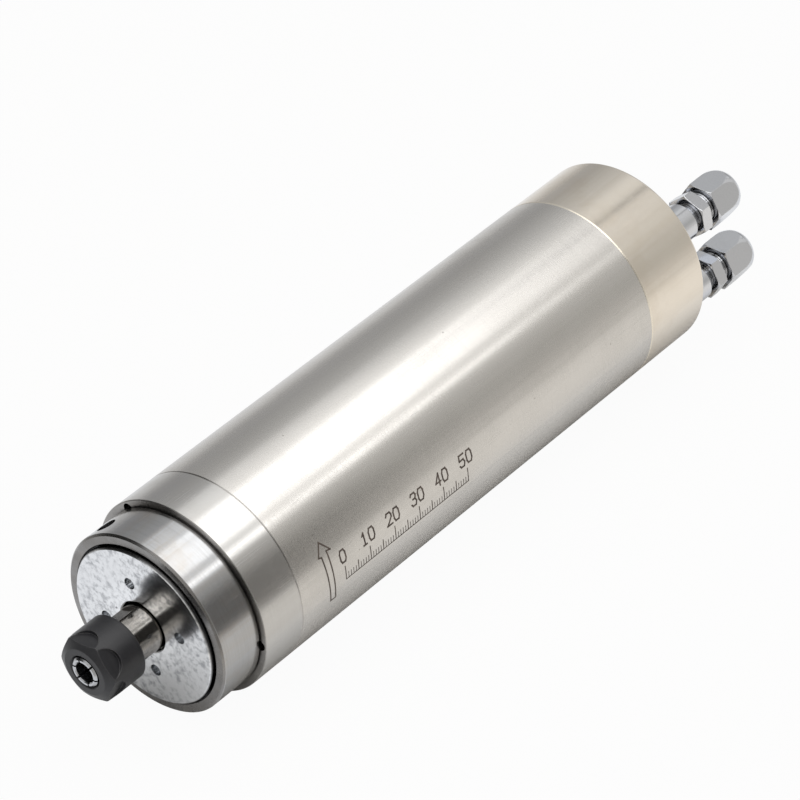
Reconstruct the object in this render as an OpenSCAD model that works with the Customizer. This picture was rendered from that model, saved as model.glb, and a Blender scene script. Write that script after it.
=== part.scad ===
// Water-cooled motor spindle with a collet nose, lying along the Y axis.
// The nose points to -Y and +Z is up. The origin is on the axis, at the middle of the plain casing.

/* [Casing] */
// Outside diameter of the casing, the front flange and the rear cap
casing_d = 58; // [50:0.5:80]
// Length of the plain casing between its two seams
casing_len = 148.3; // [120:0.1:260]
// Wall of the casing tube
casing_wall = 2.5; // [2:0.1:4]
// Bevel on the edges at the seams
seam_bevel = 0.25; // [0.1:0.05:0.6]

/* [Cooling jacket] */
// Wall of the jacket between the casing and the stator
jacket_wall = 4; // [3.4:0.1:6]
// Depth of the water channels cut into the jacket
channel_depth = 1.8; // [1:0.1:2.2]
// Width of one water channel
channel_w = 6; // [3:0.5:7]
// Number of water channels
channel_count = 12; // [6:2:14]

/* [Front flange and nose ring] */
// Visible length of the front flange
front_flange_len = 14.3; // [12:0.1:30]
// Length of the front flange's spigot inside the casing
front_spigot_len = 20; // [18:0.5:40]
// Length of the nose ring
nose_len = 13.7; // [12:0.1:20]
// Step in radius from the front flange down to the nose ring
shoulder_step = 2; // [1.8:0.1:3]
// Wall of the nose ring's rim around the dust disc
rim_wall = 3; // [2:0.1:5]
// Bevel on the nose ring's front edge
nose_bevel = 0.6; // [0.2:0.1:1.2]
// Diameter of the spanner hole in the side of the nose ring
spanner_hole_d = 5.5; // [3:0.1:6]
// Depth of that hole
spanner_hole_depth = 2.6; // [1:0.1:3]
// Distance of that hole from the shoulder
spanner_hole_y = 8.6; // [6:0.1:9]
// Angle of that hole round the axis, from +X towards +Z
spanner_hole_angle = 130; // [0:360]
// Diameter of the half-round key notches in the shoulder
key_notch_d = 3.3; // [1.5:0.1:3.6]
// Depth of the key notches
key_notch_depth = 3; // [1:0.1:6]

/* [Dust disc] */
// Thickness of the dust disc
disc_thick = 5.6; // [5:0.1:8]
// How far the dust disc stands out of the rim
disc_proud = 1.2; // [0.4:0.1:3]
// Gap between the dust disc and the rim
disc_gap = 0.5; // [0.2:0.1:1]
// Diameter of the circle of pin holes
pin_circle_d = 26.8; // [24:0.1:34]
// Diameter of the pin holes
pin_hole_d = 3.4; // [2:0.1:5]
// Depth of the pin holes
pin_hole_depth = 3; // [1:0.1:4]
// Number of pin holes
pin_hole_count = 4; // [2:6]
// Angle of the first pin hole
pin_hole_angle = 16.9; // [0:0.1:90]

/* [Shaft] */
// Wall of the shaft's nose around the widest part of the collet
nose_wall = 1.25; // [1:0.05:2]
// How far the shaft stands out of the dust disc
nose_reach = 16.7; // [15:0.1:24]
// Depth of each of the two spanner flats
flat_depth = 0.75; // [0.3:0.05:1]
// Length of the spanner flats
flats_len = 6.6; // [5:0.1:7]
// Distance from the dust disc to the spanner flats
flats_gap = 1.2; // [0.5:0.1:2]
// Direction that the first spanner flat faces
flats_angle = 125; // [0:360]
// Clearance in radius between the shaft and the dust disc
disc_clearance = 0.6; // [0.3:0.1:1]
// Step in radius from the rear bearing's seat up to the rotor's seat
rotor_seat_step = 2; // [1.5:0.1:3]

/* [Collet and collet nut] */
// Diameter of the tool shank that the collet holds
shank_d = 6; // [4:0.1:8]
// Wall of the collet's thin end around the shank
collet_tail_wall = 0.85; // [0.6:0.05:1.4]
// Length of the collet
collet_len = 18; // [16:0.5:22]
// Half angle of the collet's taper
taper_angle = 8; // [7:0.5:9]
// Width of the collet's slots
slot_w = 0.55; // [0.3:0.05:0.8]
// Wall of the collet nut around the thread
nut_wall = 2.6; // [2:0.05:4]
// Length of the collet nut
nut_len = 12.6; // [12:0.1:15]
// Depth of the flats of the collet nut
nut_flat_depth = 1.1; // [0.5:0.05:1.3]
// Length of the flats of the collet nut
nut_flat_len = 5.4; // [4:0.1:7]
// Direction that the first flat of the nut faces
nut_angle = 40; // [0:360]

/* [Bearings] */
// Bore of the front bearings
front_bore_d = 15; // [15:0.5:16]
// Outside diameter of the front bearings
front_bearing_d = 32; // [30:0.5:36]
// Width of one front bearing
front_bearing_w = 9; // [8:0.5:10]
// Bore of the rear bearing
rear_bore_d = 10; // [8:0.5:12]
// Outside diameter of the rear bearing
rear_bearing_d = 26; // [24:0.5:26]
// Width of the rear bearing
rear_bearing_w = 8; // [6:0.5:8.5]

/* [Motor] */
// Diameter of the rotor
rotor_d = 23.4; // [23:0.1:25]
// Air gap between the rotor and the stator
air_gap = 0.4; // [0.3:0.05:0.8]
// Length of the coil ends that stand out of the stator
coil_end_len = 10; // [7:0.5:12]
// Number of stator slots
stator_slots = 18; // [12:6:24]
// Width of a stator tooth
tooth_w = 1.9; // [1.4:0.1:2.2]
// Number of bars in the rotor's cage
rotor_bars = 22; // [17:28]

/* [Rear end] */
// Length of the rear cap
rear_cap_len = 24.4; // [22:0.1:40]
// Thickness of the rear cap's end wall
end_wall = 8; // [7:0.5:9]
// Wall round the rear cap
cap_wall = 4; // [3:0.1:5]
// Rounding of the rear cap's outer edge
cap_round = 0.9; // [0.3:0.1:2]
// Length of the rear bearing housing inside the casing
rear_spigot_len = 24; // [23:0.5:34]
// Diameter of the cap screws' thread
cap_screw_d = 3; // [2:0.5:3]

/* [Water fittings] */
// Distance from the casing's surface to the centre of a water port
port_inset = 8.5; // [8.2:0.1:10]
// Half the angle between the two water ports
port_half_angle = 30.6; // [29:0.1:40]
// Direction of the middle between the ports
port_angle = 13; // [0:30]
// Diameter of the fitting's round base
base_d = 11.2; // [10.4:0.1:12]
// Length of the fitting's base
base_len = 8.7; // [5:0.1:12]
// Size across the flats of the fitting's hexagon
hex_across = 12; // [11:0.5:13]
// Length of the fitting's hexagon
hex_len = 3.9; // [3:0.1:6]
// Size across the flats of the hose nut
hose_nut_across = 13; // [12.5:0.1:14]
// Length of the hose nut
hose_nut_len = 12.4; // [12:0.1:16]
// Diameter of the fitting's thread
hose_thread_d = 10; // [9.5:0.1:10.4]
// Outside diameter of the hose that the fitting takes
hose_d = 6; // [4:0.1:6.2]

/* [Power socket] */
// Diameter of the socket's threaded barrel
socket_d = 16; // [12:0.5:17]
// How far the socket stands out of the rear cap
socket_reach = 11; // [8:0.5:16]
// Distance from the axis to the centre of the socket
socket_offset = 12.5; // [10:0.1:14]

/* [Hidden] */

$fn = 96;

// Clearances shared by the pieces that fit together
push_fit = 0.02;
running_fit = 0.05;
race_clearance = 0.08;
cut = 1;

// Radii of the casing and of what is inside it
casing_r = casing_d / 2;
bore_r = casing_r - casing_wall;
jacket_r = bore_r - push_fit;
core_r = jacket_r - jacket_wall;
annulus_r = jacket_r - channel_depth;
nose_ring_r = casing_r - shoulder_step;
key_notch_angles = [131, -2, -115];
key_notch_inset = 0.2;
rim_r = nose_ring_r - rim_wall;
disc_r = rim_r - disc_gap;

// Collet, nose and nut: each grows outward from the shank that the collet holds
collet_lead = 4.5;
collet_stand_off = 0.75;
collet_tail_r = shank_d / 2 + collet_tail_wall;
collet_r = collet_tail_r + (collet_len - collet_lead) * tan(taper_angle);
collet_ring_r = collet_r - 1.4;
collet_groove_r = collet_r - 1.9;
collet_ring_len = 2.4;
collet_shoulder_angle = 30;
collet_seat_gap = 0.05;
collet_slots = 6;
collet_turn = 45 / collet_slots;
slot_web = 3;
nose_r = collet_r + nose_wall;
nut_r = nose_r + nut_wall;
nut_across = 2 * (nut_r - nut_flat_depth);
nut_mouth_gap = 0.25;
nut_face_w = 2.3;
nut_lip = 0.35;
nut_chamfer = 1.4;

// Stations along the axis, from the nose to the rear
y_front = -casing_len / 2;
y_rear = casing_len / 2;
y_shoulder = y_front - front_flange_len;
y_rim = y_shoulder - nose_len;
y_disc = y_rim - disc_proud;
y_disc_back = y_disc + disc_thick;
y_shaft = y_disc - nose_reach;
y_cap = y_rear + rear_cap_len;
y_wall = y_cap - end_wall;
y_collet_max = y_shaft - collet_stand_off;
y_collet = y_collet_max - collet_lead;
y_nut = y_collet + nut_lip;
y_nut_back = y_nut + nut_len;

// Bearing seats, and the collars of the shaft beside them
bearing_setback = 1;
y_seat_1 = y_shoulder + bearing_setback;
y_seat_2 = y_seat_1 + front_bearing_w;
y_seat_end = y_seat_2 + front_bearing_w;
seat_lip = 3;
rear_plate = 4.1;
spring_room = 2.5;
y_rear_seat_end = y_rear - rear_plate - spring_room;
y_rear_seat = y_rear_seat_end - rear_bearing_w;
front_seat_r = front_bearing_d / 2 + push_fit;
rear_seat_r = rear_bearing_d / 2 + push_fit;
register_r = front_bearing_d / 2 + 3.5;
front_collar_r = front_bore_d / 2 + 2.2;
rotor_seat_r = rear_bore_d / 2 + rotor_seat_step;
lock_nut_r = front_bore_d / 2 + 3.8;
lock_nut_gap = 1.1;
ring_groove_depth = 0.5;

// Spigots, lips and seals at the two ends of the jacket
lip_len = 6;
lip_wall = 1.7;
seal_d = 1.6;
seal_setback = 5;
small_seal_d = 1.1;
small_seal_setback = 2.4;
seal_groove = 0.8;
lip_r = core_r - push_fit;
cup_r = lip_r - lip_wall;
y_front_spigot = y_front + front_spigot_len;
y_front_lip = y_front_spigot + lip_len;
y_rear_spigot = y_rear - rear_spigot_len;
y_rear_lip = y_rear_spigot - lip_len;
front_land = 11;
rear_land = 10;

// Motor
coil_gap = 1;
coil_r = core_r - 1.6;
y_core = y_front_lip + coil_end_len + coil_gap;
y_core_end = y_rear_lip - coil_end_len - coil_gap;
stator_bore_r = rotor_d / 2 + air_gap;
tooth_tip = 0.9;
back_iron = 3.4;
slot_mouth = 0.9;
slot_liner = 0.15;
rotor_overhang = 2;
end_ring_len = 4;
rotor_bar_r = 1;
rotor_bar_cover = 0.7;
bar_circle_r = rotor_d / 2 - rotor_bar_cover - rotor_bar_r;
y_rotor = y_core - rotor_overhang;
y_rotor_end = y_core_end + rotor_overhang;

// Water ports and their fittings; a fitting's own stations count from the cap's end face
port_r = casing_r - port_inset;
port_angles = [port_angle + port_half_angle, port_angle - port_half_angle];
passage_r = 2.2;
port_boss_r = 6;
port_seal_r = passage_r + 1.4;
port_seal_d = 0.68;
stem_r = base_d / 2 - 1.2;
stem_len = 8;
washer_len = 1;
neck_len = 1.8;
nut_gap = 2.2;
base_shortfalls = [2, 0];
hex_angles = [30, 50];
hose_nut_angle = 50;
thread_reach = 3.8;
sleeve_start = thread_reach + 0.5;
sleeve_len = 3.6;
sleeve_end = sleeve_start + sleeve_len;
hose_bore_r = hose_d / 2 + 0.15;
sleeve_bore_r = hose_bore_r + 0.2;
water_bore_r = hose_d / 4;
stub_r = water_bore_r + 0.5;
stub_len = 4.2;
thread_pitch = 1;
thread_depth = 0.4;

// Screws of the rear cap
screw_circle_r = casing_r - 6.7;
screw_angles = [port_angle, port_angle + 120, port_angle + 240];
screw_boss_r = 3.4;
boss_relief = 0.5;
screw_head_r = cap_screw_d * 0.92;
screw_grip = 10;
y_screw_head = y_cap - cap_screw_d - 0.5;

// Power socket and its wires
socket_angle = port_angle + 180;
y_socket = y_cap + socket_reach;
socket_bore_r = socket_d / 2 - 1.5;
socket_flange_len = 2;
insert_len = 1;
pin_r = 0.75;
pin_ring_r = socket_bore_r * 0.52;
pin_tail = 1.9;
y_insert = y_wall - socket_flange_len - insert_len;
y_pin_tail = y_insert - pin_tail;
y_pin_end = y_socket - 3;
gasket_len = 0.5;
socket_nut_len = 2.5;
wire_circle_r = (rear_seat_r + cup_r) / 2;
wire_hole_r = (cup_r - rear_seat_r) / 2 - 1;
wire_r = wire_hole_r * 0.2;
grommet_r = wire_hole_r * 0.8;

// Turns its children so that their local Z runs along +Y
module on_axis() {
    rotate([-90, 0, 0]) children();
}

// Moves its children to an angle (from +X towards +Z) and a distance from the axis
module at_polar(angle, radius) {
    rotate([0, -angle, 0]) translate([radius, 0, 0]) children();
}

// A revolved solid from points [radius, y]
module turned(profile) {
    on_axis() rotate_extrude() polygon(profile);
}

// A plain cylinder between two stations
module rod(r, y0, y1) {
    on_axis() translate([0, 0, y0]) cylinder(r = r, h = y1 - y0);
}

// A plain tube between two stations
module tube(r_out, r_in, y0, y1) {
    difference() {
        rod(r_out, y0, y1);
        rod(r_in, y0 - cut, y1 + cut);
    }
}

// A hexagonal bar between two stations, with a flat that faces the angle given
module hex_bar(across, y0, y1, angle = 0) {
    rotate([0, -angle, 0]) on_axis() translate([0, 0, y0]) rotate([0, 0, 30])
        cylinder(r = across / 2 / cos(30), h = y1 - y0, $fn = 6);
}

// A round ring of circular section, such as an O-ring
module o_ring(centre_r, section_r, y) {
    on_axis() translate([0, 0, y]) rotate_extrude() translate([centre_r, 0]) circle(r = section_r);
}

// Points of an arc in the [radius, y] plane
function arc(cx, cy, r, a0, a1, n = 6) =
    [for (i = [0:n]) [cx + r * cos(a0 + (a1 - a0) * i / n), cy + r * sin(a0 + (a1 - a0) * i / n)]];

// Points of the V-grooves of a thread, from one station to another
function thread_points(r, depth, pitch, y0, y1) =
    [for (i = [0:floor((y1 - y0) / pitch) - 1], k = [0, 1])
        [r - (k == 1 ? depth : 0), y0 + (i + k / 2) * pitch]];

// Casing tube
module outer_casing() {
    color("silver") turned([
        [bore_r, y_front], [casing_r - seam_bevel, y_front], [casing_r, y_front + seam_bevel],
        [casing_r, y_rear - seam_bevel], [casing_r - seam_bevel, y_rear], [bore_r, y_rear]
    ]);
}

// Front flange that carries the two front bearings, with its spigot and seal grooves
module front_housing() {
    y_lip_back = y_seat_end + seat_lip;
    cavity_r = annulus_r - 4.5;
    lip_bore_r = front_seat_r - 2;
    color("silver") difference() {
        turned([
            [front_seat_r, y_shoulder], [casing_r - seam_bevel, y_shoulder],
            [casing_r, y_shoulder + seam_bevel], [casing_r, y_front - seam_bevel],
            [casing_r - seam_bevel, y_front], [jacket_r, y_front],
            [jacket_r, y_front + front_land], [annulus_r, y_front + front_land],
            [annulus_r, y_front_spigot], [lip_r, y_front_spigot], [lip_r, y_front_lip],
            [lip_r - lip_wall, y_front_lip], [lip_r - lip_wall, y_front_spigot],
            [cavity_r, y_front_spigot - 2], [cavity_r, y_lip_back],
            [lip_bore_r, y_lip_back], [lip_bore_r, y_seat_end], [front_seat_r, y_seat_end]
        ]);
        seal_channel(jacket_r, seal_d, y_front + seal_setback);
        seal_channel(lip_r, small_seal_d, y_front_spigot + small_seal_setback);
        rod(register_r + push_fit, y_shoulder - cut, y_shoulder + bearing_setback - push_fit);
        key_notches();
    }
}

// Half-round key notches where the nose ring meets the shoulder
module key_notches() {
    for (angle = key_notch_angles)
        at_polar(angle, nose_ring_r - key_notch_inset)
            rod(key_notch_d / 2, y_shoulder - cut, y_shoulder + key_notch_depth);
}

// Nose ring that clamps the bearings' outer races and holds the dust disc
module nose_ring() {
    cavity_r = lock_nut_r + lock_nut_gap;
    relief = 0.5;
    y_clamp = y_seat_1 - 0.05;
    color("silver") difference() {
        turned([
            [cavity_r, y_disc_back], [rim_r, y_disc_back], [rim_r, y_rim + 0.2],
            [rim_r + 0.2, y_rim], [nose_ring_r - nose_bevel, y_rim],
            [nose_ring_r, y_rim + nose_bevel], [nose_ring_r, y_shoulder - relief],
            [nose_ring_r - relief, y_shoulder - relief], [nose_ring_r - relief, y_shoulder],
            [register_r, y_shoulder], [register_r, y_clamp],
            [cavity_r + 1.4, y_clamp], [cavity_r, y_clamp - 1.5]
        ]);
        at_polar(spanner_hole_angle, nose_ring_r - spanner_hole_depth)
            translate([0, y_shoulder - spanner_hole_y, 0]) rotate([0, 90, 0])
                cylinder(d = spanner_hole_d, h = spanner_hole_depth + cut);
    }
}

// Aluminium dust disc with pin holes and two punch marks
module dust_disc() {
    bore = nose_r + disc_clearance;
    color("gainsboro") difference() {
        turned([
            [bore, y_disc + 0.3], [bore + 0.3, y_disc], [disc_r - 0.4, y_disc],
            [disc_r, y_disc + 0.4], [disc_r, y_disc_back], [bore, y_disc_back]
        ]);
        for (i = [0:pin_hole_count - 1])
            at_polar(pin_hole_angle + 360 * i / pin_hole_count, pin_circle_d / 2)
                rod(pin_hole_d / 2, y_disc - cut, y_disc + pin_hole_depth);
        for (angle = [171, -73.5])
            at_polar(angle, bore + 1.6) rod(0.35, y_disc - cut, y_disc + 0.4);
    }
}

// Cooling jacket with its straight water channels
module water_jacket() {
    color("lightgray") difference() {
        tube(jacket_r, core_r, y_front_spigot + push_fit, y_rear_spigot - push_fit);
        for (i = [0:channel_count - 1])
            rotate([0, -360 * (i + 0.5) / channel_count - port_angle, 0])
                translate([annulus_r, y_front_spigot - cut, -channel_w / 2])
                    cube([channel_depth + cut, y_rear_spigot - y_front_spigot + 2 * cut, channel_w]);
    }
}

// Seals of the front flange: one in the casing, one in the jacket
module front_o_rings() {
    color("black") {
        seal(jacket_r, bore_r, seal_d, y_front + seal_setback);
        seal(lip_r, core_r, small_seal_d, y_front_spigot + small_seal_setback);
    }
}

// Seals of the rear housing: one in the casing, one in the jacket
module rear_o_rings() {
    color("black") {
        seal(jacket_r, bore_r, seal_d, y_rear - seal_setback - seal_d);
        seal(lip_r, core_r, small_seal_d, y_rear_spigot - small_seal_setback - small_seal_d);
    }
}

// Groove for a seal in a cylinder of the radius given, starting at a station
module seal_channel(r, section_d, y) {
    tube(r + cut, r - seal_groove * section_d, y, y + section_d);
}

// One seal, squeezed between its groove and the bore that it seals
module seal(r, sealed_r, section_d, y) {
    section_r = (sealed_r - r + seal_groove * section_d) / 2 - push_fit;
    o_ring(sealed_r - push_fit - section_r, section_r, y + section_d / 2);
}

// Stator stack with its slots
module stator_core() {
    color("dimgray") on_axis() translate([0, 0, y_core]) difference() {
        cylinder(r = core_r - push_fit, h = y_core_end - y_core);
        translate([0, 0, -cut]) cylinder(r = stator_bore_r, h = y_core_end - y_core + 2 * cut);
        for (i = [0:stator_slots - 1])
            rotate([0, 0, 360 * i / stator_slots])
                translate([0, 0, -cut]) linear_extrude(y_core_end - y_core + 2 * cut) {
                    polygon(slot_outline(0));
                    translate([stator_bore_r - 0.5, -slot_mouth / 2])
                        square([tooth_tip + 1, slot_mouth]);
                }
    }
}

// Outline of one stator slot, made smaller by a gap for the copper inside it
function slot_outline(gap) =
    let (
        r0 = stator_bore_r + tooth_tip + gap,
        r1 = core_r - back_iron - gap,
        w0 = r0 * tan(180 / stator_slots) - tooth_w / 2 - gap,
        w1 = r1 * tan(180 / stator_slots) - tooth_w / 2 - gap
    )
    [[r0, -w0], [r1, -w1], [r1, w1], [r0, w0]];

// Copper in the slots, with a coil end at each end of the stack
module stator_windings() {
    coil_in = stator_bore_r + tooth_tip + 0.4;
    color("peru") {
        on_axis() translate([0, 0, y_core - coil_gap]) for (i = [0:stator_slots - 1])
            rotate([0, 0, 360 * i / stator_slots])
                linear_extrude(y_core_end - y_core + 2 * coil_gap)
                    polygon(slot_outline(slot_liner));
        coil_end(coil_in, coil_r, y_core - coil_end_len, y_core - 0.5);
        coil_end(coil_in, coil_r, y_core_end + 0.5, y_core_end + coil_end_len);
    }
}

// One coil end: a ring with rounded edges
module coil_end(r_in, r_out, y0, y1) {
    e = min(2, (r_out - r_in) / 3);
    turned(concat(
        arc(r_in + e, y0 + e, e, 180, 270), arc(r_out - e, y0 + e, e, 270, 360),
        arc(r_out - e, y1 - e, e, 0, 90), arc(r_in + e, y1 - e, e, 90, 180)
    ));
}

// Ball radius, pitch radius and ball count of a bearing with the given bore and outside diameter
function ball_r(bore, od) = 0.14 * (od - bore);
function pitch_r(bore, od) = (bore + od) / 4;
function ball_count(bore, od) = floor(PI * pitch_r(bore, od) / ball_r(bore, od) / 1.35);

// Outer race with its ball groove
module outer_race(bore, od, w, y) {
    p = pitch_r(bore, od);
    b = ball_r(bore, od);
    color("silver") difference() {
        tube(od / 2, p + 0.5 * b, y, y + w);
        o_ring(p, b + race_clearance, y + w / 2);
    }
}

// Inner race with its ball groove
module inner_race(bore, od, w, y) {
    p = pitch_r(bore, od);
    b = ball_r(bore, od);
    color("silver") difference() {
        tube(p - 0.5 * b, bore / 2 + push_fit, y, y + w);
        o_ring(p, b + race_clearance, y + w / 2);
    }
}

// Ring of balls
module balls(bore, od, w, y) {
    n = ball_count(bore, od);
    color("whitesmoke") for (i = [0:n - 1])
        at_polar(360 * i / n, pitch_r(bore, od)) translate([0, y + w / 2, 0])
            sphere(r = ball_r(bore, od));
}

// Cage with a pocket for each ball
module cage(bore, od, w, y) {
    n = ball_count(bore, od);
    p = pitch_r(bore, od);
    b = ball_r(bore, od);
    half = b + 0.9;
    color("tan") difference() {
        tube(p + 0.3 * b, p - 0.3 * b, y + w / 2 - half, y + w / 2 + half);
        for (i = [0:n - 1])
            at_polar(360 * i / n, p - b) translate([0, y + w / 2, 0]) rotate([0, 90, 0])
                cylinder(r = b + running_fit, h = 2 * b);
    }
}

module front_bearing_1_outer() {
    outer_race(front_bore_d, front_bearing_d, front_bearing_w, y_seat_1);
}

module front_bearing_1_inner() {
    inner_race(front_bore_d, front_bearing_d, front_bearing_w, y_seat_1);
}

module front_bearing_1_cage() {
    cage(front_bore_d, front_bearing_d, front_bearing_w, y_seat_1);
}

module front_bearing_1_balls() {
    balls(front_bore_d, front_bearing_d, front_bearing_w, y_seat_1);
}

module front_bearing_2_outer() {
    outer_race(front_bore_d, front_bearing_d, front_bearing_w, y_seat_2);
}

module front_bearing_2_inner() {
    inner_race(front_bore_d, front_bearing_d, front_bearing_w, y_seat_2);
}

module front_bearing_2_cage() {
    cage(front_bore_d, front_bearing_d, front_bearing_w, y_seat_2);
}

module front_bearing_2_balls() {
    balls(front_bore_d, front_bearing_d, front_bearing_w, y_seat_2);
}

module rear_bearing_outer() {
    outer_race(rear_bore_d, rear_bearing_d, rear_bearing_w, y_rear_seat);
}

module rear_bearing_inner() {
    inner_race(rear_bore_d, rear_bearing_d, rear_bearing_w, y_rear_seat);
}

module rear_bearing_cage() {
    cage(rear_bore_d, rear_bearing_d, rear_bearing_w, y_rear_seat);
}

module rear_bearing_balls() {
    balls(rear_bore_d, rear_bearing_d, rear_bearing_w, y_rear_seat);
}

// Wavy washer that presses the rear bearing forward
module preload_spring() {
    n = 72;
    thick = 0.4;
    swing = (spring_room - thick) / 2 - 0.06;
    r_in = rear_bearing_d / 2 - 2.2;
    r_out = rear_bearing_d / 2 - 0.3;
    mid = y_rear_seat_end + spring_room / 2;
    points = [for (i = [0:n - 1], k = [0:3])
        let (a = 360 * i / n, r = k == 0 || k == 3 ? r_in : r_out)
        [r * cos(a), r * sin(a), mid + swing * cos(3 * a) + (k < 2 ? -thick : thick) / 2]];
    faces = [for (i = [0:n - 1], f = [[0, 1, 5, 4], [3, 7, 6, 2], [1, 2, 6, 5], [0, 4, 7, 3]])
        [for (v = f) (4 * i + v) % (4 * n)]];
    color("steelblue") on_axis() polyhedron(points, faces);
}

// Round nut that clamps the front bearings' inner races, with four slots
module bearing_lock_nut() {
    y0 = y_disc_back + 1.6;
    y1 = y_seat_1 - push_fit;
    r = front_bore_d / 2 + push_fit;
    slot = 3;
    color("gray") difference() {
        turned([
            [r, y0], [lock_nut_r - 0.5, y0], [lock_nut_r, y0 + 0.5], [lock_nut_r, y1 - 1.8],
            [lock_nut_r - 1.3, y1 - 0.6], [lock_nut_r - 1.3, y1], [r, y1]
        ]);
        for (i = [0:3])
            rotate([0, 45 + 90 * i, 0]) translate([lock_nut_r - 1.4, y0 - cut, -slot / 2])
                cube([slot, 2.4 + cut, slot]);
    }
}

// Shaft from the collet nose to the rear bearing
module spindle_shaft() {
    taper_len = collet_len - collet_lead;
    mouth_r = collet_r - collet_stand_off * tan(taper_angle) + collet_seat_gap;
    end_r = mouth_r - taper_len * tan(taper_angle);
    hole_r = end_r - 0.3;
    hole_len = 34;
    edge = 0.6;
    front_r = front_bore_d / 2;
    rear_r = rear_bore_d / 2;
    rear_collar_r = rotor_seat_r - 0.2;
    y_thread_end = y_disc_back + 0.8;
    y_collar_end = y_seat_end + 5;
    y_seat_stop = y_rotor_end + end_ring_len + 1;
    y_rear_end = y_rear_seat_end + 2;
    flats_y = y_disc - flats_gap - flats_len;
    color("silver") difference() {
        turned([
            [0, y_shaft + hole_len + hole_r * 0.5], [hole_r, y_shaft + hole_len],
            [hole_r, y_shaft + taper_len], [end_r, y_shaft + taper_len],
            [mouth_r, y_shaft], [nose_r - edge, y_shaft], [nose_r, y_shaft + edge],
            [nose_r, y_thread_end], [front_r, y_thread_end], [front_r, y_seat_end],
            [front_collar_r, y_seat_end], [front_collar_r, y_collar_end],
            [rotor_seat_r, y_collar_end], [rotor_seat_r, y_seat_stop],
            [rear_collar_r, y_seat_stop], [rear_collar_r, y_rear_seat], [rear_r, y_rear_seat],
            [rear_r, y_rear_end - 0.5], [rear_r - 0.5, y_rear_end], [0, y_rear_end]
        ]);
        for (side = [0, 180])
            rotate([0, -flats_angle - side, 0])
                translate([nose_r - flat_depth, flats_y, -nose_r])
                    cube([nose_r, flats_len, 2 * nose_r]);
        tube(rear_bore_d, rear_r - ring_groove_depth, y_rear_seat_end + 0.1, y_rear_seat_end + 1.1);
    }
}

// Rotor stack with the holes for its bars
module rotor_core() {
    color("dimgray") difference() {
        tube(rotor_d / 2, rotor_seat_r + push_fit, y_rotor, y_rotor_end);
        for (i = [0:rotor_bars - 1])
            at_polar(360 * i / rotor_bars, bar_circle_r)
                rod(rotor_bar_r + push_fit, y_rotor - cut, y_rotor_end + cut);
    }
}

// Bars and end rings of the rotor's cage
module rotor_cage() {
    ring_in = bar_circle_r - rotor_bar_r - 1;
    ring_out = rotor_d / 2 - 0.3;
    y0 = y_rotor - push_fit;
    y1 = y_rotor_end + push_fit;
    color("lightgray") {
        for (i = [0:rotor_bars - 1])
            at_polar(360 * i / rotor_bars, bar_circle_r)
                rod(rotor_bar_r, y_rotor - 1, y_rotor_end + 1);
        tube(ring_out, ring_in, y0 - end_ring_len, y0);
        tube(ring_out, ring_in, y1, y1 + end_ring_len);
    }
}

// Open ring in the groove behind the rear bearing
module shaft_retaining_ring() {
    color("gray") difference() {
        tube(rear_bore_d / 2 + 1.5, rear_bore_d / 2 - ring_groove_depth + push_fit,
            y_rear_seat_end + 0.15, y_rear_seat_end + 1.05);
        translate([-1.5, y_rear_seat_end - cut, 0]) cube([3, 3 * cut, rear_bore_d]);
    }
}

// Split collet: front ring, extraction groove, shoulder and taper
module collet() {
    y_back = y_collet + collet_len;
    y_ring = y_collet + collet_ring_len;
    y_neck = y_collet_max - (collet_r - collet_groove_r) * tan(collet_shoulder_angle);
    bore = shank_d / 2;
    color("silver") difference() {
        turned([
            [bore, y_collet + 0.3], [bore + 0.3, y_collet], [collet_ring_r - 0.5, y_collet],
            [collet_ring_r, y_collet + 0.5], [collet_ring_r, y_ring],
            [collet_groove_r, y_ring + 0.35], [collet_groove_r, y_neck],
            [collet_r, y_collet_max], [collet_tail_r, y_back], [bore, y_back]
        ]);
        for (i = [0:collet_slots - 1]) {
            angle = collet_turn + 360 * i / collet_slots;
            rotate([0, angle, 0]) translate([0, y_collet - cut, -slot_w / 2])
                cube([2 * collet_r, collet_len - slot_web + cut, slot_w]);
            rotate([0, angle + 180 / collet_slots, 0])
                translate([0, y_collet_max + slot_web - 1, -slot_w / 2])
                    cube([2 * collet_r, collet_len, slot_w]);
        }
    }
}

// Collet nut: round skirt, milled flats, cone that presses the collet home
module collet_nut() {
    thread_r = nose_r + running_fit;
    mouth_r = collet_ring_r + nut_mouth_gap;
    seat_r = collet_r + nut_lip;
    y_seat = y_collet_max - 0.3;
    y_cone = y_seat - (seat_r - mouth_r) * tan(collet_shoulder_angle);
    y_flats = y_nut + nut_flat_len;
    color("#3a3a3c") difference() {
        turned([
            [thread_r, y_nut_back], [thread_r, y_shaft - 0.25], [seat_r, y_shaft - 0.4],
            [seat_r, y_seat], [mouth_r, y_cone], [mouth_r, y_nut + 0.5], [mouth_r + 0.5, y_nut],
            [mouth_r + nut_face_w, y_nut], [nut_r, y_nut + nut_chamfer],
            [nut_r, y_nut_back - 0.4], [nut_r - 0.4, y_nut_back]
        ]);
        nut_flats(y_flats);
    }
}

// The material that six round-ended flats take off the collet nut
module nut_flats(y_flats) {
    end_r = sqrt(pow(nut_r, 2) - pow(nut_across / 2, 2));
    for (i = [0:5])
        at_polar(nut_angle + 60 * i, nut_across / 2)
            translate([0, y_flats - end_r, 0]) {
                rotate([0, 90, 0]) cylinder(r = end_r, h = nut_r);
                translate([0, -nut_flat_len, -end_r]) cube([nut_r, nut_flat_len, 2 * end_r]);
            }
}

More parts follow.
